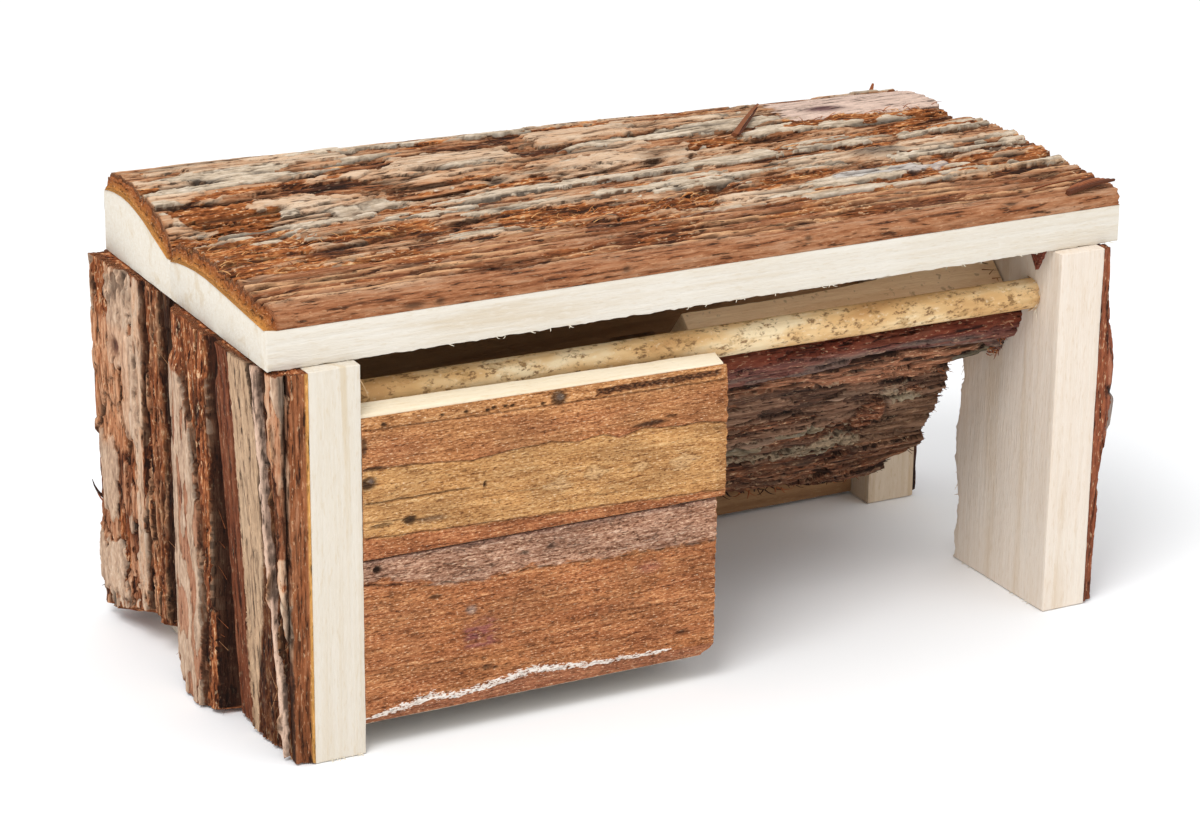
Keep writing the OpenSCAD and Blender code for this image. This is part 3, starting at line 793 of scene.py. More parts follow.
def roof_back_ends(V, i):
    n0, n1 = np.abs(perlin(V / 0.9, V * 0, 51)), np.abs(perlin(V / 2.4, V * 0, 52))
    k = ss(16, 44, V)
    return -1.0 - 0.5 * n0, 0.1 + 0 * V, -(1.0 + 3.4 * k + 2.2 * n1 + 0.8 * n0), -0.4 - 1.5 * k


def roof_front_field(U, V, TH, info):
    b = bark2(U, V, 101, plate=(64, 5.6), flake=(21, 2.3), step=0.75, missing=0.26, grey=0.74, lvl=0.56)
    Y = info["A"]
    X = U - 140
    jag, jc = b["jag"], b["jc"]
    wob = Y + 1.3 * perlin(U / 45, V * 0, 9) + 0.4 * jc
    # straight dark fibres with long furrows, then the smoother strip above the white face
    dk = 1 - ss(-40, -36, wob + 3.0 * perlin(U / 60, V * 0, 91))
    lay(b, dk, rough=0.5, level=b["level"] * 0.62 + 0.02, grey=b["grey"] * 0.25, torn=b["torn"] * 0.8 + 0.12, dark=b["dark"] * 0.6)
    lay(b, dk * 0.8, tint=(150, 88, 54), k=0.55)
    for y0, amp, s in ((-38.5, 1.5, 1), (-43.5, 1.1, 2), (-47.0, 1.4, 3), (-51.5, 1.6, 4), (-55.0, 1.0, 5)):
        f = np.exp(-(((wob - y0 - 1.1 * perlin(U / 30, V * 0, 200 + s)) / 0.7) ** 2)) * ss(-0.35, -0.15, perlin(U / 64, V * 0, 210 + s))
        b["d"] = b["d"] - amp * f
        b["dark"] = np.maximum(b["dark"], 0.9 * f)
    for y0, s in ((-35.4, 6), (-41.2, 1), (-45.3, 2), (-49.3, 3), (-53.4, 4), (-56.0, 5)):
        f = np.exp(-(((wob - y0 - 1.4 * perlin(U / 34, V * 0, 240 + s)) / 0.65) ** 2)) * ss(-0.15, 0.05, perlin(U / 46, V * 0, 250 + s))
        lay(b, f * 0.9, d=0.55, tint=(214, 168, 124), k=0.8, dark=0)
    lip = 1 - ss(-58.5, -56.5, wob + 0.5 * jag)
    lay(b, lip, rough=0.30, level=0.40 + 0.16 * perlin(U / 50, V / 2.0, 6) + 0.10 * perlin(U / 12, V / 0.7, 7), grey=0, torn=0.1,
        dark=b["dark"] * 0.25)
    lay(b, lip * 0.6, tint=(146, 92, 60), k=0.55)
    e = np.exp(-(((wob + 57.2) / 0.5) ** 2)) * ss(-0.3, 0.1, perlin(U / 26, V * 0, 96))
    b["d"] = b["d"] + 0.55 * e
    lay(b, e * 0.8, tint=(206, 168, 134), k=0.8)
    for x0, w in ((-96, 3.5), (-88, 1.6), (-30, 1.4), (30, 1.2), (66, 1.8), (101, 2.2)):
        s = spot(X, V, x0, 3.4 + 0.02 * x0, w, 1.1)
        lay(b, s, dark=0.75, d=-0.35)
    # weathered silver plates
    for x0, x1, y0, y1, hi in ((-104, -70, 15.5, 19.5, 0.9), (-128, -82, -4.0, 0.5, 1.2), (-128, -106, -9.0, -5.5, 0.8),
                               (-82, -52, -9.5, -7.0, 0.7), (-42, 24, 0.5, 5.5, 1.3), (20, 58, 1.5, 7.5, 1.1),
                               (64, 92, 3.5, 8.0, 0.9), (104, 132, 4.5, 8.0, 0.9), (90, 139, -16.5, -12.5, 1.0), (-12, 30, -12.5, -9.5, 0.6)):
        m = strip(b, X, Y - 0.6 * perlin(U / 30, V * 0, 88), x0, x1, y0, y1, amp=1.5)
        split = np.exp(-((perlin(U / 9, V / 3.2, 89 + int(x0)) / 0.07) ** 2)) * ss(0.0, 0.2, perlin(U / 14, V / 5, 90 + int(x0)))
        lay(b, m, rough=0.2, d=hi * 0.5 + 0.2 * perlin(U / 16, V / 2.2, 87), level=0.85, grey=1.0, torn=0, dark=b["dark"] * 0.15 + 0.65 * split)
        # painted shadow line along each plate's front edge
        rim = strip(b, X, Y - 0.6 * perlin(U / 30, V * 0, 88) + 1.3, x0, x1, y0, y1, amp=1.5) * (1 - m)
        lay(b, rim, dark=0.9, d=-0.35)
    m = strip(b, X, Y, 61, 99, -28.0, -23.5)
    lay(b, m, rough=0.2, d=0.7, grey=0.2, torn=0, dark=0, tint=(178, 176, 174), k=0.75)
    # long dark cracks between the plates
    for y0, s in ((10.5, 1), (6.8, 2), (-1.6, 3), (-8.9, 4), (-13.6, 5), (-19.4, 6), (-25.0, 7), (-30.6, 8), (14.5, 9)):
        f = np.exp(-(((Y - y0 - 1.5 * perlin(U / 46, V * 0, 260 + s) - 0.5 * jc) / 0.95) ** 2)) * ss(-0.05, 0.08, perlin(U / 34, V * 0, 270 + s))
        lay(b, f * 0.95, dark=0.95, d=-0.9)
    # torn orange fibres
    for x0, x1, y0, y1 in ((-40, 16, -33, -21), (-139, -112, -38, 8), (-112, -70, -22, -13), (22, 60, -21, -17), (-70, -50, 8.5, 12),
                           (-60, -20, 8, 14), (30, 70, 12, 17), (84, 136, 9, 13), (96, 138, -30, -20), (-112, -60, 2, 6)):
        m = strip(b, X, Y, x0, x1, y0, y1, 6, 1.0) * ss(-0.45, -0.1, perlin(U / 14, V / 3.2, 19))
        lay(b, m, d=-0.8, grey=0, torn=1.0, rough=0.9)
    # knotty grey lump
    r = np.sqrt(((X - 86) / 10.0) ** 2 + ((Y + 9) / 4.2) ** 2)
    m = np.exp(-(r**4))
    lay(b, m, d=1.2 + 0.8 * fbm(U / 3, V / 1.4, 97, 3), dark=0.35, torn=0, tint=(122, 106, 92), k=0.8)
    return done(b, info)


def roof_back_field(U, V, TH, info):
    b = bark2(U, V, 202, plate=(70, 4.6), flake=(24, 2.2), step=0.75, missing=0.2, grey=0.74, lvl=0.56)
    Y = info["A"]
    X = U - 140
    t = Y - info["A"][:, :1]
    for k in range(7):
        y0 = 6.0 + 7.5 * k
        f = np.exp(-(((t - y0 * (1 - 0.3 * U / 280) - 1.3 * perlin(U / 42, V * 0, 220 + k) - 0.4 * b["jc"]) / 1.0) ** 2)) * ss(-0.1, 0.1, perlin(U / 40, V * 0, 230 + k))
        b["d"] = b["d"] - 1.1 * f
        b["dark"] = np.maximum(b["dark"], 0.9 * f)
    # pale flaky plates
    for x0, x1, y0, y1 in ((-110, -88, 18, 22), (-60, -20, 30, 38), (-8, 26, 38, 47), (0, 40, 22, 27), (-120, -70, 44, 50)):
        m = strip(b, X, Y, x0, x1, y0, y1)
        lay(b, m, rough=0.3, d=0.6, level=0.78, grey=0.3, torn=0, dark=b["dark"] * 0.5)
    # smooth pinkish patch, the dark oval on it and the orange tear below it
    m = strip(b, X, Y, 84, 142, 36, 58, 5, 0.8)
    lay(b, m, rough=0.12, d=-0.7 + 0.12 * fbm(U / 16, V / 1.5, 98, 3), level=0.66, grey=0, torn=0, dark=b["dark"] * 0.15,
        tint=(208, 182, 168), k=0.85)
    m = spot(X, Y, 97, 41.5, 7.0, 2.6)
    lay(b, m, d=0.5, dark=0.1, tint=(92, 58, 66), k=0.9)
    m = strip(b, X, Y, 80, 139, 31.5, 35.5, 5, 0.6)
    lay(b, m, d=-0.6, torn=1.0, grey=0)
    return done(b, info)


CAP = (0.3, 0.0, 0.35, 0.0)
CAP_T = (lin(134, 70, 30)[:3] + (0.8,), lin(214, 148, 68)[:3] + (0.8,))
sheet("roof_front_bark_v",
      ([(-63, 128.6), (-63.2, 132.0), (-60.5, 133.6), (-49, 135.7), (-34, 137.4), (-16, 138.0), (0, 136.8),
        (6, 135.2), (9.0, 132.5), (9.05, 128.4)],
       [(-63, 128.6), (-63.2, 132.6), (-60.5, 134.2), (-41, 135.6), (-22, 137.0), (4, 138.2), (16, 137.4),
        (23, 136), (27.0, 133), (27.05, 130)]),
      ([(-63, 128.6), (-45, 129.8), (-30, 130.9), (-15, 131.6), (0, 130.3), (9.05, 128.4)],
       [(-63, 128.6), (-41, 129.8), (-20, 131.3), (3, 132.4), (15, 131.6), (27.05, 130)]),
      "x", -140, 140, 418, 220, roof_front_field, BARK_ROOF, ["roof_front_bark"],
      ends=roof_front_ends, cap_mask=CAP, cap_tint=CAP_T)
sheet("roof_back_bark_v",
      ([(9.05, 128.4), (9.1, 133), (12, 136), (23, 140.6), (37, 143.0), (50, 143.4), (58, 142.4), (62.5, 139.8),
        (63.2, 137.8), (63, 135.6)],
       [(27.05, 130), (27.1, 133.4), (30, 135.4), (38, 137.8), (46, 138.8), (54, 138.2), (60, 136.4),
        (62.8, 134.4), (63.1, 132.8), (63, 131)]),
      ([(9.05, 128.4), (22, 132.6), (32, 135.8), (44, 137.8), (56, 137.2), (63, 135.6)],
       [(27.05, 130), (33, 131.1), (40, 132.6), (47, 133.4), (56, 132.8), (63, 131)]),
      "x", -140, 140, 418, 180, roof_back_field, BARK_ROOF, ["roof_back_bark"],
      ends=roof_back_ends, cap_mask=CAP, cap_tint=CAP_T)

# ---------------------------------------------------------------- left wall
LFI = [(-129.6, -67), (-131, -49), (-131.6, -31), (-131.2, -11), (-129.8, 9)]
LBI = [(-129.8, 9.1), (-131, 25), (-131.4, 37), (-130.8, 51), (-129.6, 63)]
solid("left_front_board_v", LFI + [(-114, 9), (-114, -67)], LFI + [(-114, 9), (-114, -67)], "z", 0, 117, WOOD_Z,
      ["left_front_board"], seed=21, step=1.5, seg=1.8, rough=0.15)
solid("left_back_board_v", LBI + [(-114, 63), (-114, 9.1)], LBI + [(-114, 63), (-114, 9.1)], "z", 0, 117, WOOD_Z,
      ["left_back_board"], seed=22)


def left_front_field(U, V, TH, info):
    b = bark2(U, V, 303, plate=(44, 5.0), flake=(15, 2.0), step=0.7, missing=0.24, grey=0.8, wave=0.6, furrow=0.6)
    z, Y = U, info["B"]
    jag, jc = b["jag"], b["jc"]
    lean = 1 - z / 117.0
    y = Y + 0.30 * jag + 0.35 * jc
    # the raised block beside the seam: flat grey-pink flakes, then red fibres set back a little
    flake_edge = np.interp(z, [0, 20, 39, 62, 85, 98, 107, 117], [-17.5, -18.5, -19.0, -18.0, -14.5, -7.5, -6.5, -4.0])
    flake_edge = flake_edge + 1.6 * perlin(U / 7, V * 0, 62) + 0.8 * jag + 0.9 * jc
    m = ss(flake_edge - 0.25, flake_edge + 0.25, y) * (1 - ss(7.6, 8.4, y)) * (1 - ss(100, 106, z + 2 * jc))
    patch = ss(-0.12, 0.0, perlin(U / 17, V / 4.5, 64) + 0.12 * jag)
    lay(b, m, rough=0.28, d=0.9, level=0.55, grey=0.0, torn=0, dark=b["dark"] * 0.25)
    lay(b, m * patch, d=0.45, grey=1.0)
    lay(b, m * (1 - patch), tint=(160, 110, 86), k=0.55)
    # painted shadow line along the front edge of the raised flakes
    rim = ss(flake_edge - 1.2, flake_edge - 0.6, y) * (1 - ss(flake_edge - 0.4, flake_edge, y))
    lay(b, rim, dark=0.7, d=-0.4)
    m = ss(-24.3, -23.9, y) * (1 - ss(flake_edge - 1.2, flake_edge - 0.5, y))
    lay(b, m, d=-0.7, torn=0.9, grey=0, level=0.3)
    top = band(z, 100, 118, 2.0) * band(y, -24.2, 8.4, 0.4)
    lay(b, top, torn=0.85, grey=0, d=-0.1, level=0.35)
    # smooth dark strip, set deeper towards the floor; painted shadow where it meets the block, and a sunken spot
    # painted black near its top
    m = band(y, -40.2, -24.6, 0.35)
    lay(b, m, rough=0.14, d=-0.6 - 6.6 * lean**0.8, level=0.3, grey=0, torn=0.15, dark=b["dark"] * 0.15, tint=(108, 54, 30), k=0.8)
    for y0, s in ((-37.5, 1), (-33.5, 2), (-30.0, 3)):
        f = np.exp(-(((y - y0 - 0.9 * perlin(U / 22, V * 0, 400 + s)) / 0.5) ** 2)) * ss(-0.3, 0.1, perlin(U / 30, V * 0, 410 + s)) * m
        lay(b, f, dark=0.7, d=-0.5)
    # painted shadow along the block's edge
    f = np.exp(-(((y + 25.8) / 1.6) ** 2))
    lay(b, f, dark=0.95, d=-2.0)
    lay(b, spot(z, y, 112, -28.5, 5.5, 2.6), dark=0.95, d=-4.0)
    # olive tan strip with fine cracks
    hi = np.interp(z, [0, 12, 40, 62, 93, 117], [-42.5, -44, -50, -53, -54, -51])
    m = band(y, hi, -40.2, 0.30)
    lay(b, m, rough=0.22, d=-0.3 - 5.8 * lean**0.9, level=0.7, grey=0, torn=0, dark=b["dark"] * 0.2, tint=(184, 154, 124), k=0.85)
    for y0, s in ((-43.0, 1), (-46.5, 2), (-49.5, 3)):
        f = np.exp(-(((y - y0 - 0.8 * perlin(U / 18, V * 0, 300 + s)) / 0.28) ** 2)) * ss(-0.2, 0.2, perlin(U / 20, V * 0, 310 + s)) * m
        lay(b, f, dark=0.75, d=-0.4)
    # dark gap, then the pinkish strip with peeling edges
    s3 = np.interp(z, [0, 20, 45, 63, 84, 117], [-60.6, -59.8, -57.0, -55.4, -54.4, -52.5])
    m = band(y, s3 - 0.9, hi, 0.3)
    lay(b, m, d=-2.8 - 3.0 * lean, dark=0.75, torn=0.7, grey=0)
    m = band(y, s3 - 3.2, s3 - 0.9, 0.25) * ss(-0.55, -0.35, perlin(U / 16, V * 0, 66))
    lay(b, m, rough=0.4, d=-0.4 - 2.4 * lean, level=0.9, grey=0.3, torn=0, dark=0, tint=(206, 174, 154), k=0.75)
    # deep furrow full of fibres
    c = s3 - 5.4
    m = np.exp(-(((y - c) / 2.5) ** 4))
    lay(b, m, d=-4.6 + 0.8 * perlin(U / 6, V / 0.9, 68), torn=0.75, grey=0, level=0.15,
        dark=0.80 + 0.2 * ss(40, 62, z) + 0.5 * perlin(U / 9, V / 1.1, 67))
    for y0, s in ((-61.6, 4), (-64.0, 5), (-58.4, 6)):
        f = np.exp(-(((y - y0 - 0.9 * perlin(U / 14, V * 0, 320 + s)) / 0.35) ** 2)) * ss(0.0, 0.25, perlin(U / 15, V * 0, 330 + s))
        lay(b, f, d=1.6, dark=0.0, torn=0.6, tint=(196, 146, 104), k=0.7)
    # the smooth band at the front edge
    m = 1 - ss(5.6, 6.3, V + 0.35 * jag + 0.45 * jc)
    lay(b, m, rough=0.25, d=-0.1, level=0.4, grey=0, torn=0.35, dark=b["dark"] * 0.3, tint=(138, 80, 46), k=0.7)
    for v0, s in ((1.9, 1), (3.1, 2), (4.3, 3)):
        f = np.exp(-(((V - v0 - 0.35 * perlin(U / 20, V * 0, 420 + s)) / 0.24) ** 2)) * ss(-0.1, 0.15, perlin(U / 18, V * 0, 430 + s))
        lay(b, f, dark=0.7, d=-0.25)
    m = np.exp(-(((V - 7.3 - 0.7 * jc) / 1.1) ** 2))
    lay(b, m, dark=0.9, d=-2.2)
    m = 1 - ss(0.5, 1.2, V)
    lay(b, m, tint=(206, 152, 80), k=0.8, dark=0)
    return done(b, info)


def left_front_ends(V, i):
    y = i["B"]
    n0, n1 = np.abs(perlin(V / 0.8, V * 0, 81)), np.abs(perlin(V / 2.6, V * 0, 82))
    low = np.interp(y, [-68, -64, -60, -40, -24, -17, -5, -1, 5, 9], [0.2, 0.8, 0.6, 1.0, 1.4, 0.6, 0.8, 5.0, 11.5, 11.5])
    out0 = -(low + 0.7 * n0 + 0.9 * n1)
    return out0, out0 * 0.6, -(0.2 + 0.7 * n0), -0.1 + 0 * V


LFO = [(-129.6, -67), (-135.6, -67.2), (-138.2, -65.8), (-140.4, -60), (-142.2, -50), (-143.2, -36), (-143.8, -20),
       (-143.6, -6), (-142.6, 3), (-139.5, 7.6), (-134, 9.0), (-129.8, 9.05)]
LFB = [(-129.6, -67), (-130.8, -49), (-131.3, -31), (-131.0, -11), (-129.8, 9.05)]
sheet("left_front_bark_v", (LFO, LFO), (LFB, LFB), "z", 0.0, 116.8, 250, 330, left_front_field, BARK_LEFT,
      ["left_front_bark"], ends=left_front_ends, ramp=30.0)


def left_back_field(U, V, TH, info):
    b = bark2(U, V, 404, plate=(34, 6.5), flake=(13, 2.8), step=1.0, missing=0.26, grey=0.62, wave=1.2, furrow=1.0, lvl=0.52)
    z, Y = U + 0.5, info["B"]
    jag, jc = b["jag"], b["jc"]
    y = Y + 0.4 * jag + 0.5 * jc
    # red fibres beside the seam
    b1 = np.interp(z, [0, 50, 87, 114], [30, 30, 31.5, 36.5])
    m = 1 - ss(b1 - 0.4, b1 + 0.4, y)
    lay(b, m, rough=0.8, d=-1.3, torn=0.55, grey=0, level=0.40)
    for y0, s, a in ((18.5, 2, 1.4), (21.5, 6, 1.0), (24.5, 3, 1.6), (27.5, 4, 1.0), (31.0, 5, 2.2)):
        f = np.exp(-(((y - y0 - 1.2 * perlin(U / 34, V * 0, 340 + s)) / 0.65) ** 2)) * ss(-0.45, -0.1, perlin(U / 50, V * 0, 350 + s))
        b["d"] = b["d"] - a * f
        b["dark"] = np.maximum(b["dark"], 0.95 * f)
    for y0, s in ((17.0, 1), (20.0, 2), (23.0, 3), (26.0, 4), (29.2, 5)):
        f = np.exp(-(((y - y0 - 1.2 * perlin(U / 34, V * 0, 370 + s)) / 0.5) ** 2)) * ss(-0.1, 0.15, perlin(U / 30, V * 0, 380 + s))
        lay(b, f * 0.9, d=0.6, tint=(206, 160, 122), k=0.75, dark=0)
    # painted shade in the deep gap behind the front board's raised block
    m = 1 - ss(18.8, 20.6, y + 0.9 * perlin(U / 30, V * 0, 362))
    lay(b, m, d=-1.2, dark=0.95 + 0.25 * perlin(U / 12, V / 1.2, 361), torn=0.5)
    # pale stripe down the middle, tan orange at the back, grey flakes
    m = band(y, 32.0, 37.0, 0.4) * ss(4, 10, z)
    lay(b, m, rough=0.4, d=0.3, level=0.8, grey=0.5, torn=0, dark=b["dark"] * 0.4)
    m = band(y, 38.5, 66, 0.5) * band(z, 58, 100, 3)
    lay(b, m, rough=0.8, level=b["level"] * 0.5 + 0.3, torn=0.35, tint=(192, 128, 84), k=0.28, dark=b["dark"] * 0.8)
    for y0, y1, z0, z1 in ((40, 50, 88, 112), (49, 58, 38, 60), (46, 62, 8, 26), (36, 42, 66, 96)):
        m = strip(b, z, Y, z0, z1, y0, y1, 2.5, 0.5)
        lay(b, m, rough=0.4, d=0.9, grey=1.0, torn=0, level=0.8, dark=b["dark"] * 0.4)
    m = spot(z, Y, 92, 47, 3.2, 2.6)
    lay(b, m, d=-1.4, dark=0.3, tint=(92, 46, 34), k=0.9)
    m = band(z, 104, 118, 2) * band(y, 40, 66, 1) * ss(-0.1, 0.2, perlin(U / 6, V / 1.8, 360))
    lay(b, m, dark=0.55, d=-0.9)
    return done(b, info)


def left_back_ends(V, i):
    y = i["B"]
    n0, n1 = np.abs(perlin(V / 0.8, V * 0, 95)), np.abs(perlin(V / 2.6, V * 0, 96))
    low = np.interp(y, [9, 12, 25, 33, 51, 60, 64], [11.4, 11.0, 10.2, 11.4, 5.6, 4.0, 4.5])
    out0 = -(low - 0.5 + 0.9 * n0 + 1.4 * n1)
    return out0, out0 * 0.7, -(0.2 + 0.7 * n0), -0.1 + 0 * V


LBO = [(-129.8, 9.1), (-134, 9.2), (-138.5, 11), (-141, 17), (-141.8, 27), (-142.0, 38), (-143.6, 47), (-145.0, 54),
       (-145.5, 60), (-145.2, 63.0), (-142.5, 64.2), (-135, 63.8), (-129.6, 63)]
LBB = [(-129.8, 9.1), (-130.8, 25), (-131.1, 37), (-130.5, 51), (-129.6, 63)]
sheet("left_back_bark_v", (LBO, LBO), (LBB, LBB), "z", 0.5, 116.8, 220, 260, left_back_field, BARK_LEFT,
      ["left_back_bark"], ends=left_back_ends, ramp=30.0)

# ---------------------------------------------------------------- right wall
RFW = [(116.6, -15), (116.6, -67), (132.2, -67), (133.2, -49), (132.8, -29), (132.2, -15)]


def torn_back(P):
    """The front right board's back edge is split, not sawn."""
    P = P.copy()
    e = ss(-24, -15, P[:, 1])
    z, x = P[:, 2], P[:, 0]
    s = 2.4 * perlin(z / 26, z * 0, 131) + 1.1 * perlin(z / 6, x / 9, 132) + 0.6 * perlin(z / 1.6, x / 5, 133)
    s = s + np.interp(z, [0, 30, 55, 75, 85, 117], [-0.8, -1.2, -0.6, 0.6, 1.6, 1.6])
    P[:, 1] += e * s
    return P


solid("right_front_board_v", RFW, RFW, "z", 0, 117, WOOD_RIGHT, ["right_front_board"], step=1.0, seg=1.5,
      seed=31, warp=torn_back, rough=0.15)
XB = 134.4
RBW = [(116.6, 36.5), (XB, 36.5), (XB, 63), (116.6, 63)]
# this board uses the darker wood: painted shade
solid("right_back_board_v", RBW, RBW, "z", 0, 117, WOOD_LEG_PAINTED_SHADE, ["right_back_board"], seed=32)


def plain_bark(seed, **kw):
    def field(U, V, TH, info):
        return done(bark2(U, V, seed, **kw), info)
    return field


def right_field(U, V, TH, info):
    b = bark2(U, V, 505, plate=(36, 4.5), flake=(14, 2.0), step=0.7, missing=0.3, grey=0.85, lvl=0.42)
    # thin at the foot and under the roof, swelling at mid height
    swell = np.interp(U, [0, 20, 42, 66, 78, 92, 108, 117], [-3.6, -2.8, -1.8, 0.2, 0.2, -2.0, -3.0, -5.2])
    b["d"] = b["d"] + swell
    m = 1 - ss(3.2, 4.2, V + 0.3 * b["jag"])
    lay(b, m, rough=0.3, torn=0.5, level=0.4, grey=0, dark=b["dark"] * 0.3, tint=(148, 84, 56), k=0.6)
    return done(b, info)


def upright_ends(seed, low=0.4):
    def ends(V, i):
        n0, n1 = np.abs(perlin(V / 0.8, V * 0, seed)), np.abs(perlin(V / 2.6, V * 0, seed + 1))
        return -(low + 0.6 * n0 + 0.6 * n1), -low + 0 * V, -(0.2 + 0.6 * n0), -0.1 + 0 * V
    return ends


RFO = [(132.2, -67), (136.6, -67.1), (139.6, -65.5), (140.2, -58), (140.0, -48), (138.8, -36), (137.2, -24),
       (135.6, -16.5), (132.2, -15)]
RFI = [(132.2, -67), (132.9, -49), (132.5, -29), (132.2, -15)]
sheet("right_front_bark_v", (RFO, RFO), (RFI, RFI), "z", 0.2, 116.6, 220, 150, right_field, BARK_RIGHT,
      ["right_front_bark"], ends=upright_ends(141))
RBO = [(XB, 36.5), (XB + 2.0, 36.8), (XB + 3.2, 41), (XB + 3.4, 50), (XB + 3.0, 59), (XB + 1.6, 62.6), (XB, 63)]
RBI = [(XB, 36.5), (XB - 0.1, 46), (XB - 0.1, 55), (XB, 63)]
sheet("right_back_bark_v", (RBO, RBO), (RBI, RBI), "z", 1.0, 116.6, 180, 90,
      plain_bark(515, plate=(36, 4.5), flake=(14, 2.0), step=0.6, lvl=0.42), BARK_RIGHT, ["right_back_bark"],
      ends=upright_ends(145, 1.0))


# ---------------------------------------------------------------- back wall
def back_pair(name, a, b, seed, mat):
    q = [(63, a), (64.6, a + (b - a) * 0.25), (65.2, (a + b) / 2), (64.6, a + (b - a) * 0.75), (63, b)]
    w = [(47, b), (47, a)] + q
    # the slabs' inner faces use the darker wood: painted shade
    solid(name + "_slab_v", w, w, "x", -114, 116.6, WOOD_PAINTED_SHADE, [name + "_slab"], step=3, seg=3, seed=seed)
    o = [(63, a), (67.0, a + 0.6), (69.2, a + 6), (70.2, a + (b - a) * 0.35), (70.3, (a + b) / 2), (70.0, a + (b - a) * 0.7),
         (68.8, b - 5), (66.6, b - 0.6), (63, b)]
    i = [(63, a), (64.2, a + (b - a) * 0.25), (64.8, (a + b) / 2), (64.2, a + (b - a) * 0.75), (63, b)]

    def ends(V, e):
        n0, n1 = np.abs(perlin(V / 0.9, V * 0, seed + 7)), np.abs(perlin(V / 2.4, V * 0, seed + 8))
        return -0.3 - 0.8 * n0 - 0.8 * n1, 0 * V, -0.3 - 0.8 * n1 - 0.8 * n0, 0 * V

    sheet(name + "_bark_v", (o, o), (i, i), "x", -114, 116.6, 340, 150,
          plain_bark(seed + 600, plate=(60, 6.0), flake=(20, 2.6), step=0.9, missing=0.24, grey=0.66), mat,
          [name + "_bark"], ends=ends)


back_pair("back_lower", 1.2, 59.9, 61, BARK_LEFT)
back_pair("back_upper", 60.0, 116.9, 62, BARK_ROOF)

# ---------------------------------------------------------------- front panel
PB = -60.3
up = [(-65.4, 58.5), (PB, 58.5), (PB, 102.4), (-65.4, 100.8)]


def panel_tilt(P):
    """The panel's top edge runs down a little to the right."""
    P = P.copy()
    t = ss(90, 100.5, P[:, 2])
    P[:, 2] += t * np.interp(P[:, 0], [-114, 1], [0.9, -1.2]) + t * 0.15 * perlin(P[:, 0] / 9, P[:, 2] * 0, 151)
    return P


WOOD_PANEL = wood_material("wood_panel", "x", lin(232, 218, 192), lin(212, 184, 142), lin(238, 226, 204), contrast=0.5)
solid("panel_upper_board_v", up, up, "x", -114, 1, WOOD_PANEL, ["panel_upper_board"], step=1.5, seg=1.6,
      r=0.3, rough=0.10, seed=41, warp=panel_tilt)
dn = [(-65.4, 8.5), (PB, 8.5), (PB, 58.4), (-65.4, 58.4)]


def lower_corner(P):
    P = P.copy()
    k = np.clip((13.0 - P[:, 2]) / 4.5, 0, 1) ** 2
    P[:, 0] = np.where(P[:, 0] > -8, P[:, 0] - 4.0 * k, P[:, 0])
    return P


solid("panel_lower_board_v", dn, dn, "x", -114, -1.2, WOOD_PANEL, ["panel_lower_board"], step=2, seg=1.6,
      r=0.3, rough=0.08, seed=42, warp=lower_corner)


